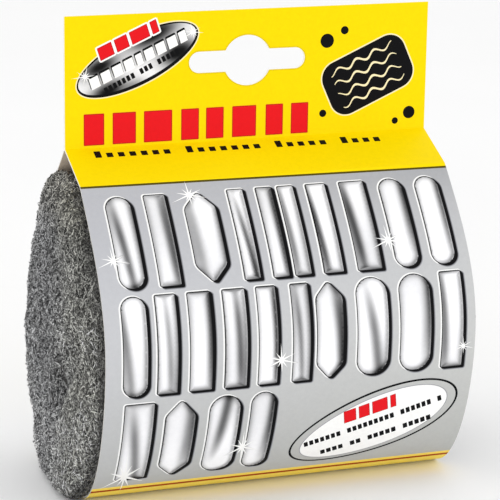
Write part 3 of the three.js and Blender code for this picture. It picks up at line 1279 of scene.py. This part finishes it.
def build_sleeve(settings):
    """The folded card as one closed mesh: printed outside, bare inside, cut edges and slot wall."""
    rows = bend_rows(settings.row_step / MM)
    fields, shapes = printed_patches(settings, rows)
    sheet = Sheet(rows, shapes)
    card = Card(sheet, rows)
    outer = np.column_stack([sheet.flat[:, 0], strip_places(sheet.flat[:, 1])])
    columns = np.linspace(-HALF_WIDTH, HALF_WIDTH, INNER_COLUMNS + 1)
    bends = inset(strip_places(rows), settings.card_thickness / MM)
    inner = [(u, y, z) for y, z in bends for u in columns]
    materials = [
        printed_card_material(), bare_board_material(settings.board, "bare_board"),
        bare_board_material(settings.core, "card_core")]
    points = metres(np.vstack([outer, inner]))
    piece = make_object("printed_sleeve", points, card.faces, materials)
    mesh = piece.data
    mesh.polygons.foreach_set("material_index", card.slots)
    tones = np.ones((len(mesh.loops), 4), np.float32)
    tones[: sheet.faces.size, :3] = shaded_corners(sheet.flat, sheet.faces, fields + shapes)
    ink = mesh.color_attributes.new("ink", "FLOAT_COLOR", "CORNER")
    ink.data.foreach_set("color", tones.ravel())
    lay_map(mesh, card.places)
    mesh.shade_smooth()
    mesh.normals_split_custom_set(card.looks)
    return piece


# The wool: two matted pads, and the loose fibres over their ends.

# A pad's skin is a plain tube inside the sleeve with rings that close over each end. The rings lie
# closer together towards the rim.
TUBE_START = 48.0
TUBE_INSET = 1.0
TUBE_RINGS = 10
END_RINGS = 46
RING_POWER = 1.9
OUTLINE_STEP = 0.8
OUTLINE_SMOOTHING = 4

# An end starts this far past the tube, level with the card's own. Its rim is rounded over these
# reaches: at the card, at the foot and at the seam, where it drops as well. What lies this clear
# of the seam is the card's side.
END_START = 2.0
SHOULDER_POWER = 2.3
ROUND_WALL = 8.5
ROUND_FOOT = 2.8
ROUND_SEAM = 3.0
SEAM_DROP = 1.3
SEAM_CLEARANCE = 1.2

# The ends stand out further the lower they are, and most where they turn square over the foot.
SAG = 0.12
SAG_MIDDLE = -48.0
SAG_REACH = 41.0
SQUARE = (-75.0, -84.0)
SQUARE_SWELL = 0.22

# A long hollow runs slantwise over the ends, and there are dents by place, width and depth. They
# are this deep at the full swell, and fade out towards the card.
HOLLOW = np.array([(-26.0, -45.0), (-3.0, -68.0)])
HOLLOW_WIDTH = 4.4
HOLLOW_DEPTH = 3.2
DENTS = (
    (-9.0, -34.0, 6.0, 1.0), (12.0, -74.0, 7.0, 2.0), (16.0, -48.0, 6.0, 0.3),
    (2.0, -22.0, 5.0, 0.8))
DENT_CLEARANCE = 6.0
FULL_SWELL = 4.0

# The wool keeps clear of the card inside the sleeve, and of the floor. Over a short length past
# the card's end it comes level with the card in front, and stands out further than it behind.
CARD_END = 50.3
CARD_CLEARANCE = 0.12
PAD_CLEARANCE = 0.1
FLOOR_CLEARANCE = 0.16
SPILL_LENGTH = 1.6
SPILL_FRONT = 0.0
SPILL_BACK = 1.3
SPILL_TURN = (-8.0, 12.0)

# At the right the wool starts level with the card's edge, stands out further the deeper it lies,
# and this far at most.
RIGHT_START = 0.1
RIGHT_REACH = 0.3
RIGHT_MOST = 2.0

# The back pad's end is pressed in at the lower corner: at what height, how far round it, how deep
# and from where to where it sets in.
PRESS_HEIGHT = -86.0
PRESS_REACH = 4.0
PRESS_DEPTH = 1.2
PRESS_TURN = (4.0, 14.0)

# The unevenness of matted wool: each size of lump, its depth and where its pattern starts.
LUMPS = ((8.0, 0.5, (0, 0, 0)), (3.3, 0.22, (9, 3, 5)), (1.4, 0.12, (2, 8, 1)))
LUMPS_FROM = (48.5, 51.5)

# How finely the sleeve's line is drawn: for a pad's section, to hold the wool and to shade it.
SECTION_STEPS = 40
HOLDING_STEPS = 30
SHADING_STEPS = 24


def seam_curve(steps=60):
    """Where the two pads meet, in (y, z), from the bottom up: it bows towards the front."""
    bottom = np.array([SEAM_BOTTOM_Y, SEAM_BOTTOM_Z])
    top = np.array([SEAM_TOP_Y, WOOL_TOP])
    middle = (bottom + top) / 2
    middle[0] = 2 * SEAM_MIDDLE_Y - middle[0]
    t = np.linspace(0, 1, steps + 1)[:, None]
    return (1 - t) ** 2 * bottom + 2 * t * (1 - t) * middle + t * t * top


def resampled(outline, step):
    """A closed outline with points an even step apart."""
    closed = np.vstack([outline, outline[:1]])
    along = lengths_along(closed)
    count = round(along[-1] / step)
    at = np.arange(count) * along[-1] / count
    return np.stack([np.interp(at, along, closed[:, 0]), np.interp(at, along, closed[:, 1])], axis=1)


def pad_outline(side, card):
    """A pad's section: the sleeve's inside on its own side of the seam, -1 in front and 1 behind."""
    seam = seam_curve() + (side * WOOL_GAP / 2, 0)
    room = inset(sleeve_loop(SECTION_STEPS), card + WOOL_GAP)
    foot = SEAM_BOTTOM_Y + side
    wall = room[(room[:, 1] < WOOL_TOP) & (side * (room[:, 0] - foot) > 0)]
    outline = resampled(np.vstack([wall, seam if side < 0 else seam[::-1]]), OUTLINE_STEP)
    for _ in range(OUTLINE_SMOOTHING):
        outline = (np.roll(outline, 1, axis=0) + 2 * outline + np.roll(outline, -1, axis=0)) / 4
    return outline


def rounded(distance, reach):
    """A rounded shoulder: 0 at the edge, 1 from the reach inwards."""
    near = 1 - np.clip(distance / reach, 0, 1)
    return np.clip(1 - near**SHOULDER_POWER, 0, 1) ** (1 / SHOULDER_POWER)


def nearest_open(points, line):
    """How far each point is from an open line."""
    start, side = line[:-1], np.diff(line, axis=0)
    to = points[:, None, :] - start[None]
    t = np.clip((to * side[None]).sum(2) / np.maximum((side**2).sum(1), TINY)[None], 0, 1)
    return np.linalg.norm(t[..., None] * side[None] - to, axis=2).min(1)


def end_swell(points, wall, seam, swell):
    """How far out of the sleeve's end each place of a pad's end face lies."""
    from_seam = nearest_open(points, seam)
    from_wall = nearest_open(points, wall)
    lowness = (SAG_MIDDLE - points[:, 1]) / SAG_REACH
    square = rise(points[:, 1], *SQUARE)
    reach = ROUND_WALL + (ROUND_FOOT - ROUND_WALL) * square
    stretch = 1 + SAG * lowness + SQUARE_SWELL * square
    height = (END_START + swell * stretch) * rounded(from_wall, reach)
    share = swell / FULL_SWELL
    height = height - HOLLOW_DEPTH * share * bump(nearest_open(points, HOLLOW), HOLLOW_WIDTH)
    for y, z, width, depth in DENTS:
        dent = depth * share * bump(points[:, 0] - y, width) * bump(points[:, 1] - z, width)
        height = height - dent * np.clip(from_wall / DENT_CLEARANCE, 0, 1)
    return np.maximum(height - SEAM_DROP * (1 - rounded(from_seam, ROUND_SEAM)), 0)


def pad_points(side, settings, card):
    """The left tip, the rings from left to right, and the right tip of a pad."""
    outline = pad_outline(side, card)
    centre = outline.mean(0)
    seam = seam_curve() + (side * WOOL_GAP / 2, 0)
    wall = outline[nearest_open(outline, seam) > SEAM_CLEARANCE]
    jump = np.linalg.norm(np.diff(wall, axis=0), axis=1)
    if jump.max() > 3 * OUTLINE_STEP:
        wall = np.roll(wall, -(jump.argmax() + 1), axis=0)
    share = np.linspace(0, 1, END_RINGS + 1)
    fullness = 1 - (1 - share) ** RING_POWER
    ends = []
    for end, swell in ((-1, settings.left_swell / MM), (1, settings.right_swell / MM)):
        rings = []
        for full in fullness:
            flat = centre + (outline - centre) * full
            out = end_swell(flat, wall, seam, swell)
            rings.append(np.column_stack([end * (TUBE_START + out), flat]))
        ends.append(rings)
    (left_tip, *left), (right_tip, *right) = ends
    last = TUBE_START - TUBE_INSET
    tube = [
        np.column_stack([np.full(len(outline), x), outline])
        for x in np.linspace(-last, last, TUBE_RINGS)]
    return left_tip[0], left + tube + right[::-1], right_tip[0]


def lumps(place):
    """The soft unevenness of matted wool, in millimetres."""
    place = Vector(place)
    return sum(depth * noise.noise(place / size + Vector(start)) for size, depth, start in LUMPS)


def held(points, card):
    """Keeps wool out of the card: inside it along the sleeve, and about level just past its ends."""
    flat = points[:, 1:]
    spill = SPILL_FRONT + (SPILL_BACK - SPILL_FRONT) * rise(flat[:, 0], *SPILL_TURN)
    past = rise(np.abs(points[:, 0]), CARD_END, CARD_END + SPILL_LENGTH)
    allowed = -(card + CARD_CLEARANCE) * (1 - past) + spill * past
    loop = sleeve_loop(HOLDING_STEPS)
    near, way = nearest_edge(flat, loop)
    depth = np.where(inside(flat, loop), near, -near)
    short = np.maximum(-depth - allowed, 0)
    inward = np.where(depth[:, None] > 0, -way, way)
    moved = points.copy()
    moved[:, 1:] += inward * short[:, None]
    moved[:, 2] = np.maximum(moved[:, 2], FOOT_Z + FLOOR_CLEARANCE)
    lean_back = HALF_WIDTH + RIGHT_START + RIGHT_REACH * np.maximum(depth, 0)
    most = np.minimum(lean_back, HALF_WIDTH + RIGHT_MOST)
    moved[:, 0] = np.minimum(moved[:, 0], most)
    return moved


def corner_press(points):
    """How far the lower back corner of the wool is pressed in at each place."""
    around = bump(points[:, 2] - PRESS_HEIGHT, PRESS_REACH)
    return PRESS_DEPTH * around * rise(points[:, 1], *PRESS_TURN)


def wool_material(settings):
    """Matted wool: metallic, kept dark as painted shade in the gaps of the loose layer, and streaked
    with the fibres under it.
    """
    material, tree, shader = new_material("matted_wool")
    deep = np.array(settings.deep, float)
    streaks = noise_of(tree, scale=1700, detail=4, rough=0.7)
    clumps = noise_of(tree, scale=350, detail=3)
    fine = ramp_of(tree, streaks, (0.38, deep * 0.3), (0.5, deep), (0.62, deep * 3.4))
    broad = ramp_of(tree, clumps, (0.3, (0.7, 0.7, 0.7)), (0.7, (1, 1, 1)))
    tree.links.new(times(tree, fine, broad), shader.inputs["Base Color"])
    tree.links.new(spread_of(tree, streaks, 0.42, 0.7), shader.inputs["Roughness"])
    shader.inputs["Metallic"].default_value = 0.5
    bumped(tree, shader, streaks, depth=0.0003, strength=0.8)
    return material


def build_pad(name, side, settings, card, material):
    """A pad as one closed skin, made uneven along its own normals and then held by the card."""
    first, rings, last = pad_points(side, settings, card)
    count = len(rings[0])
    points = np.vstack([first[None], *rings, last[None]])
    tip = len(points) - 1
    faces = []
    for i in range(count):
        after = (i + 1) % count
        faces.append((0, 1 + after, 1 + i))
        faces.append((tip, tip - count + i, tip - count + after))
        for r in range(len(rings) - 1):
            near, far = 1 + r * count, 1 + (r + 1) * count
            faces.append((near + i, near + after, far + after, far + i))
    piece = make_object(name, metres(points), faces, [material])
    mesh = piece.data
    normals = np.zeros(len(points) * 3)
    mesh.vertices.foreach_get("normal", normals)
    shown = rise(np.abs(points[:, 0]), *LUMPS_FROM)
    uneven = np.array([lumps(p) if s > 0 else 0.0 for p, s in zip(points, shown)])
    push = (uneven - corner_press(points)) * shown
    moved = held(points + normals.reshape(-1, 3) * push[:, None], card + PAD_CLEARANCE)
    mesh.vertices.foreach_set("co", metres(moved).astype(np.float32).ravel())
    mesh.shade_smooth()
    map_pad(mesh, len(points), count, len(rings))
    mesh.update()
    return piece


# A pad's grid on the map: its margin and its size.
MAP_RIM = 0.005
PAD_MAP = (0.985, 0.99)


def map_pad(mesh, total, count, rings):
    """Lays a pad's skin out as a grid: round it one way, from tip to tip the other."""
    corners = np.zeros(len(mesh.loops), int)
    mesh.loops.foreach_get("vertex_index", corners)
    tip = (corners == 0) | (corners == total - 1)
    ring = (corners - 1) // count + 1
    ring[corners == 0] = 0
    ring[corners == total - 1] = rings + 1
    around = ((corners - 1) % count) / count
    for polygon in mesh.polygons:
        picks = slice(polygon.loop_start, polygon.loop_start + polygon.loop_total)
        row, on_tip = around[picks], tip[picks]
        if np.ptp(row[~on_tip]) > 0.5:
            row[row < 0.5] += 1
        row[on_tip] = row[~on_tip].mean()
    across, up = PAD_MAP
    lay_map(mesh, np.stack([MAP_RIM + across * around, MAP_RIM + up * ring / (rings + 1)], axis=1))


# A fibre is a thin closed tube with this many straight pieces and sides, thinner at its tips. Its
# first side can face any way, so one is fixed for all of them.
FIBRE_PIECES = 6
FIBRE_SIDES = 3
FIBRE_TIP = 0.4
FIRST_SIDE = np.array([0.31, 0.52, 0.79])

# A fibre's width as a share of the usual one: the least, and how much more the widest have. The
# finer ones are the commoner.
WIDTH_LEAST = 0.7
WIDTH_MORE = 0.6
WIDTH_POWER = 1.5

# Loose fibres lie over a pad's end from this far out, in this many layers. Each turns by its own
# curl from piece to piece, in radians, and strays a little. One that climbs past the top of the
# loose layer turns back, and so does one that dips into the lowest share of it.
FIBRES_FROM = TUBE_START + 1.2
FIBRE_LAYERS = 2
CURL = 0.28
STRAY = 0.16
LAYER_BOTTOM = 0.15
TURN_BACK = 1.6

# Which way the fibres of each pad mostly lie: upright in front, leaning forwards behind.
LAY = {-1: Vector((0, 0, 1.6)), 1: Vector((0, -0.65, 0.9))}


def fibre_material():
    """Shaved steel: each fibre its own grey, with painted glints that brighten and darken that grey
    along the fibre.
    """
    material, tree, shader = new_material("steel_fibre")
    along = noise_of(tree, scale=1500, detail=2)
    worn = noise_of(tree, scale=2500, detail=2)
    # Painted glints: spots along each fibre where its grey is brighter or darker.
    glints = ramp_of(tree, along, (0.40, (0.24, 0.24, 0.24)), (0.53, (1, 1, 1)))
    toned = times(tree, attribute_of(tree, "tone"), glints)
    tree.links.new(toned, shader.inputs["Base Color"])
    tree.links.new(spread_of(tree, worn, 0.26, 0.42), shader.inputs["Roughness"])
    shader.inputs["Metallic"].default_value = 0.6
    return material


def end_places(pad, end, count, random):
    """Places spread evenly over one end of a pad."""
    mesh = pad.data
    mesh.calc_loop_triangles()
    corners = np.zeros(len(mesh.vertices) * 3)
    mesh.vertices.foreach_get("co", corners)
    corners = corners.reshape(-1, 3)
    triangles = np.zeros(len(mesh.loop_triangles) * 3, int)
    mesh.loop_triangles.foreach_get("vertices", triangles)
    a, b, c = (corners[triangles.reshape(-1, 3)[:, i]] for i in range(3))
    area = np.linalg.norm(np.cross(b - a, c - a), axis=1)
    out = drawn((a + b + c) / 3)[:, 0] * end
    area = np.where(out > FIBRES_FROM, area, 0)
    picks = random.choice(len(area), count, p=area / area.sum())
    s, t = random.random(count), random.random(count)
    over = s + t > 1
    s[over], t[over] = 1 - s[over], 1 - t[over]
    return a[picks] + (b - a)[picks] * s[:, None] + (c - a)[picks] * t[:, None]


def fibre_lines(pad, side, end, count, settings, random):
    """The middle lines of the loose fibres: curly walks through a shallow layer on the pad's end."""
    tree = BVHTree.FromObject(pad, bpy.context.evaluated_depsgraph_get())
    step, layer = settings.fibre_step, settings.fibre_layer
    starts = end_places(pad, end, count, random)
    lines = np.zeros((count, FIBRE_PIECES + 1, 3))
    wander = random.standard_normal((count, FIBRE_PIECES + 2, 3))
    depths = random.random(count) * layer
    curls = random.normal(0, CURL, count)
    for i, start in enumerate(starts):
        foot, normal, _, _ = tree.find_nearest(Vector(start))
        place = foot + normal * depths[i]
        way = Vector(wander[i, 0]) + LAY[side] * (1 if wander[i, 0, 2] > 0 else -1)
        way.normalize()
        axis = Vector(wander[i, 1]).normalized()
        for k in range(FIBRE_PIECES + 1):
            lines[i, k] = place
            height = (place - foot).dot(normal)
            way = Matrix.Rotation(curls[i], 3, axis) @ way + Vector(wander[i, k + 1]) * STRAY
            climb = way.dot(normal)
            too_high = height > layer and climb > 0
            too_low = height < LAYER_BOTTOM * layer and climb < 0
            if too_high or too_low:
                way = way - normal * climb * TURN_BACK
            way.normalize()
            place = place + way * step
            foot, normal, _, _ = tree.find_nearest(place)
    return lines


def fibre_mesh(name, lines, width, tones, material):
    """Thin three-sided fibres along the lines, closed at both ends."""
    count, rings = lines.shape[:2]
    ways = np.gradient(lines, axis=1)
    ways = ways / np.maximum(np.linalg.norm(ways, axis=2), TINY)[..., None]
    sides = np.cross(ways, FIRST_SIDE)
    sides = sides / np.maximum(np.linalg.norm(sides, axis=2), TINY)[..., None]
    tops = np.cross(ways, sides)
    taper = np.ones(rings)
    taper[0] = taper[-1] = FIBRE_TIP
    radius = width[:, None, None] / 2 * taper[None, :, None]
    corners = []
    for k in range(FIBRE_SIDES):
        turn = 2 * math.pi * k / FIBRE_SIDES
        corners.append(lines + (sides * math.cos(turn) + tops * math.sin(turn)) * radius)
    points = np.stack(corners, axis=2).reshape(-1, 3)
    one = []
    for r in range(rings - 1):
        for k in range(FIBRE_SIDES):
            after = (k + 1) % FIBRE_SIDES
            near, far = r * FIBRE_SIDES, (r + 1) * FIBRE_SIDES
            one.append((near + k, near + after, far + after, far + k))
    last = (rings - 1) * FIBRE_SIDES
    offsets = (np.arange(count) * rings * FIBRE_SIDES)[:, None, None]
    quads = (offsets + np.array(one)[None]).reshape(-1, 4)
    ends = (offsets + np.array([(2, 1, 0), (last, last + 1, last + 2)])[None]).reshape(-1, 3)

    mesh = bpy.data.meshes.new(name)
    mesh.vertices.add(len(points))
    mesh.vertices.foreach_set("co", points.astype(np.float32).ravel())
    around = np.concatenate([quads.ravel(), ends.ravel()])
    sizes = np.concatenate([np.full(len(quads), 4), np.full(len(ends), 3)])
    mesh.loops.add(len(around))
    mesh.loops.foreach_set("vertex_index", around.astype(np.int32))
    mesh.polygons.add(len(sizes))
    starts = np.concatenate([[0], np.cumsum(sizes)[:-1]])
    mesh.polygons.foreach_set("loop_start", starts.astype(np.int32))
    mesh.update(calc_edges=True)
    mesh.materials.append(material)
    tone = mesh.color_attributes.new("tone", "FLOAT_COLOR", "POINT")
    shades = np.ones((len(points), 4), np.float32)
    shades[:, :3] = tones.reshape(count * rings, 3).repeat(FIBRE_SIDES, axis=0)
    tone.data.foreach_set("color", shades.ravel())
    map_fibres(mesh, count, rings)
    return link(name, mesh)


# A fibre's cell on the map, in shares of it: the margin, what is filled, and how far up the
# second tip lies.
CELL_MARGIN = 0.04
CELL_FILL = 0.92
SECOND_TIP = 0.45


def map_fibres(mesh, count, rings):
    """Gives each fibre a small cell of the map, with a strip of it for each side."""
    across = math.ceil(math.sqrt(count))
    cell = 1 / across
    wide, high = cell * CELL_FILL / rings, cell * CELL_FILL / FIBRE_SIDES
    fibre = np.repeat(np.arange(count), (rings - 1) * FIBRE_SIDES)
    piece = np.tile(np.arange((rings - 1) * FIBRE_SIDES), count)
    left = (fibre % across + CELL_MARGIN) * cell + (piece // FIBRE_SIDES) * wide
    low = (fibre // across + CELL_MARGIN) * cell + (piece % FIBRE_SIDES) * high
    right, top = left + wide, low + high
    quads = np.stack([left, low, left, top, right, top, right, low], axis=1)
    owner = np.repeat(np.arange(count), 2)
    left = (owner % across + CELL_MARGIN) * cell + (rings - 1) * wide
    low = (owner // across + CELL_MARGIN + SECOND_TIP * np.tile([0, 1], count)) * cell
    ends = np.stack([left, low, left + wide, low, left, low + high], axis=1)
    lay_map(mesh, np.concatenate([quads.ravel(), ends.ravel()]))


# The fibres' greys, with light and shade painted into them. Each is drawn from one of two spreads,
# painted lit or unlit, then tinted: a painted olive reflection of the print in front, and a little
# blue behind it. The ends get painted shade at the top, in the hollow and by the card in front, and
# painted light near the foot and low on the front pad; they are uneven in clumps. A pair gives where
# such a change starts and ends.
LIT_SPREAD = (2.5, 1.2)
UNLIT_SPREAD = (1.2, 4.0)
UNLIT_MOST = 0.5
WARM_TINT = np.array([1.01, 1.01, 0.965])
COOL_TINT = np.array([0.985, 0.99, 1.02])
WARM = (4.0, -26.0)
TOP_DARK = np.array([0.06, 0.08, 0.16])
TOP = (-24.0, -8.0)
CLUMP_SIZE = np.array([11.0, 11.0, 8.0]) * MM
CLUMP_TONE = 0.3
BASE_TONE = 0.98
LOW_TONE = 0.26
LOW = (-52.0, -78.0)
MIDDLE_TONE = 0.14
MIDDLE_HEIGHT = (-24.0, -38.0)
MIDDLE_DEPTH = (-2.0, -12.0)
HOLLOW_TONE = 0.14
NEAR_CARD = 0.34
NEAR_CARD_REACH = 2.2
AT_CARD = 0.46
AT_CARD_REACH = (0.55, 1.05)
CARD_IN_FRONT = (6.0, -6.0)


def fibre_tones(lines, settings, random):
    """The grey of each fibre at each of its points."""
    count, rings = lines.shape[:2]
    local = drawn(lines.reshape(-1, 3))
    flat, y, z = local[:, 1:], local[:, 1], local[:, 2]
    # Painted light and shade: each fibre counts as lit or unlit at random, and gets a bright grey or a
    # dark one for it.
    lit = random.random(count) < settings.bright_share
    lit_share = random.beta(*LIT_SPREAD, count)
    unlit_share = random.beta(*UNLIT_SPREAD, count) * UNLIT_MOST
    share = np.repeat(np.where(lit, lit_share, unlit_share), rings)[:, None]
    dark, bright = np.array(settings.dark, float), np.array(settings.bright, float)
    # Painted reflection: the warm tint stands for the yellow print's light falling on the wool in
    # front.
    warm = rise(y, *WARM)[:, None]
    tones = dark + (bright - dark) * share
    tones = tones * (COOL_TINT * (1 - warm) + WARM_TINT * warm)
    # Painted shade at the top of the ends, under the card.
    tones = tones * (1 - rise(z, *TOP)[:, None] * TOP_DARK)

    places = lines[:, rings // 2] / CLUMP_SIZE
    clumps = np.repeat([noise.noise(Vector(p)) for p in places], rings)
    # Painted light low down and on the front pad from its middle down, and painted shade in the hollow;
    # the clumps are uneven tone.
    middle = rise(z, *MIDDLE_HEIGHT) * rise(y, *MIDDLE_DEPTH)
    hollow = bump(nearest_open(flat, HOLLOW), HOLLOW_WIDTH)
    light = BASE_TONE + LOW_TONE * rise(z, *LOW) + MIDDLE_TONE * middle
    light = light + CLUMP_TONE * clumps - HOLLOW_TONE * hollow
    tones = np.minimum(tones * light[:, None], 1)

    # Painted shade along the card's edge in front.
    from_card = nearest_edge(flat, sleeve_loop(SHADING_STEPS))[0]
    shade = NEAR_CARD * (1 - rise(from_card, 0, NEAR_CARD_REACH))
    shade = shade + AT_CARD * (1 - rise(from_card, *AT_CARD_REACH))
    tones = tones * (1 - rise(y, *CARD_IN_FRONT) * shade)[:, None]
    return tones.reshape(count, rings, 3)


def build_fibres(name, pad, side, end, layer, settings, card, material):
    """One layer of loose fibres over one end of a pad."""
    count = settings.left_fibres if end < 0 else settings.right_fibres
    random = np.random.default_rng([settings.seed, side + 1, end + 1, layer])
    lines = fibre_lines(pad, side, end, count, settings, random)
    lines = metres(held(drawn(lines.reshape(-1, 3)), card)).reshape(lines.shape)
    share = WIDTH_LEAST + WIDTH_MORE * random.random(count) ** WIDTH_POWER
    width = settings.fibre_width * share
    return fibre_mesh(name, lines, width, fibre_tones(lines, settings, random), material)


# Main calls.


class WOOLPADS_OT_sleeve(bpy.types.Operator):
    """Add the folded card sleeve with its print"""

    bl_idname = "woolpads.sleeve"
    bl_label = "Card sleeve"

    def execute(self, context):
        piece = build_sleeve(context.scene.woolpads_sleeve)
        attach(piece, "root")
        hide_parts("card_sleeve")
        return {"FINISHED"}


PADS = (("front", -1), ("back", 1))
ENDS = (("left", -1), ("right", 1))


class WOOLPADS_OT_pads(bpy.types.Operator):
    """Add the two matted pads inside the sleeve"""

    bl_idname = "woolpads.pads"
    bl_label = "Pads"

    def execute(self, context):
        settings = context.scene.woolpads_wool
        card = context.scene.woolpads_sleeve.card_thickness / MM
        material = wool_material(settings)
        for name, side in PADS:
            pad = build_pad(f"wool_{name}", side, settings, card, material)
            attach(pad, "root")
            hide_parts(f"pad_{name}")
        return {"FINISHED"}


class WOOLPADS_OT_fibres(bpy.types.Operator):
    """Add the loose curly fibres over both ends of the pads"""

    bl_idname = "woolpads.fibres"
    bl_label = "Loose fibres"

    def execute(self, context):
        settings = context.scene.woolpads_wool
        card = context.scene.woolpads_sleeve.card_thickness / MM
        material = fibre_material()
        for name, side in PADS:
            pad = bpy.data.objects[f"wool_{name}"]
            for word, end in ENDS:
                for layer in range(FIBRE_LAYERS):
                    piece = build_fibres(
                        f"fibres_{name}_{word}_{layer}", pad, side, end, layer, settings, card,
                        material)
                    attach(piece, "root")
        return {"FINISHED"}


# The camera looks at this place in the frame, in millimetres.
CAMERA_AIM = (2.88, 3.65, 59.01)
SENSOR_WIDTH = 36
NEAREST_SHOWN = 0.01
FURTHEST_SHOWN = 20

# Each lamp's name, its place in metres and the width of its disc.
LAMPS = (
    ("key", (-0.5, -0.8, 0.28), 0.55), ("fill", (0.7, -0.6, 0.25), 0.5),
    ("top", (0.0, 0.15, 0.9), 0.9))

FLOOR_RADIUS = 3.0
FLOOR_SIDES = 96


def add_camera(settings):
    """The camera, set by how far round and how high it stands, its lean and its distance."""
    azimuth, elevation = settings.camera_azimuth, settings.camera_elevation
    back = Vector((
        math.sin(azimuth) * math.cos(elevation), -math.cos(azimuth) * math.cos(elevation),
        math.sin(elevation)))
    place = Vector(CAMERA_AIM) * MM + back * settings.camera_distance
    camera = bpy.data.cameras.new("camera")
    camera.lens = settings.lens
    camera.sensor_width = SENSOR_WIDTH
    camera.clip_start = NEAREST_SHOWN
    camera.clip_end = FURTHEST_SHOWN
    holder = link("camera", camera)
    right = (-back).cross(Vector((0, 0, 1))).normalized()
    up = right.cross(-back)
    roll = settings.camera_roll
    across = right * math.cos(roll) + up * math.sin(roll)
    above = up * math.cos(roll) - right * math.sin(roll)
    turn = Matrix((across, above, back)).transposed().to_4x4()
    holder.matrix_world = Matrix.Translation(place) @ turn
    bpy.context.scene.camera = holder


def add_lamp(name, place, size, power, aim):
    """A round lamp that faces the place it aims at."""
    lamp = bpy.data.lights.new(name, "AREA")
    lamp.shape = "DISK"
    lamp.size = size
    lamp.energy = power
    holder = link(name, lamp)
    holder.location = place
    holder.rotation_mode = "QUATERNION"
    holder.rotation_quaternion = (Vector(aim) - Vector(place)).to_track_quat("-Z", "Y")


def add_floor(settings):
    """A wide round floor, faintly mottled so that it isn't a blank."""
    rim = ellipse(0, 0, FLOOR_RADIUS, FLOOR_RADIUS, steps=FLOOR_SIDES)
    points = [(x, y, 0) for x, y in rim]
    material, tree, shader = new_material("studio_floor")
    tone = np.array(settings.floor, float)
    mottle = noise_of(tree, scale=6, detail=2)
    toned = ramp_of(tree, mottle, (0.3, tone * 0.985), (0.7, tone))
    tree.links.new(toned, shader.inputs["Base Color"])
    shader.inputs["Roughness"].default_value = 0.7
    floor = make_object("floor", points, [tuple(range(len(points)))], [material])


class WOOLPADS_OT_stage(bpy.types.Operator):
    """Add the floor, the lamps, the light all round and the camera"""

    bl_idname = "woolpads.stage"
    bl_label = "Stage"

    def execute(self, context):
        settings = context.scene.woolpads_stage
        add_camera(settings)
        add_floor(settings)
        centre = (CAD_LOW + CAD_HIGH) / 2
        powers = (settings.key_power, settings.fill_power, settings.top_power)
        for (name, place, size), power in zip(LAMPS, powers):
            add_lamp(name, place, size, power, centre)
        world = bpy.data.worlds.new("studio_light")
        world.use_nodes = True
        background = world.node_tree.nodes["Background"]
        background.inputs["Color"].default_value = (*settings.backdrop, 1)
        background.inputs["Strength"].default_value = settings.sky_strength
        context.scene.world = world
        context.scene.view_settings.view_transform = "Standard"
        return {"FINISHED"}


class WOOLPADS_PT_parts(bpy.types.Panel):
    """One button for each group of the pack's parts, and one for the stage"""

    bl_idname = "WOOLPADS_PT_parts"
    bl_label = "Wool pads"
    bl_space_type = "VIEW_3D"
    bl_region_type = "UI"
    bl_category = "Wool pads"

    def draw(self, context):
        for operator in OPERATORS:
            self.layout.operator(operator.bl_idname)


OPERATORS = (WOOLPADS_OT_stage, WOOLPADS_OT_sleeve, WOOLPADS_OT_pads, WOOLPADS_OT_fibres)
CLASSES = (SleeveSettings, WoolSettings, StageSettings, *OPERATORS, WOOLPADS_PT_parts)


def register():
    for each in CLASSES:
        bpy.utils.register_class(each)
    bpy.types.Scene.woolpads_sleeve = bpy.props.PointerProperty(type=SleeveSettings)
    bpy.types.Scene.woolpads_wool = bpy.props.PointerProperty(type=WoolSettings)
    bpy.types.Scene.woolpads_stage = bpy.props.PointerProperty(type=StageSettings)


def unregister():
    del bpy.types.Scene.woolpads_stage
    del bpy.types.Scene.woolpads_wool
    del bpy.types.Scene.woolpads_sleeve
    for each in reversed(CLASSES):
        bpy.utils.unregister_class(each)


def main():
    """Builds the stage and the pack."""
    register()
    bpy.ops.woolpads.stage()
    bpy.ops.woolpads.sleeve()
    bpy.ops.woolpads.pads()
    bpy.ops.woolpads.fibres()


if __name__ == "__main__":
    main()
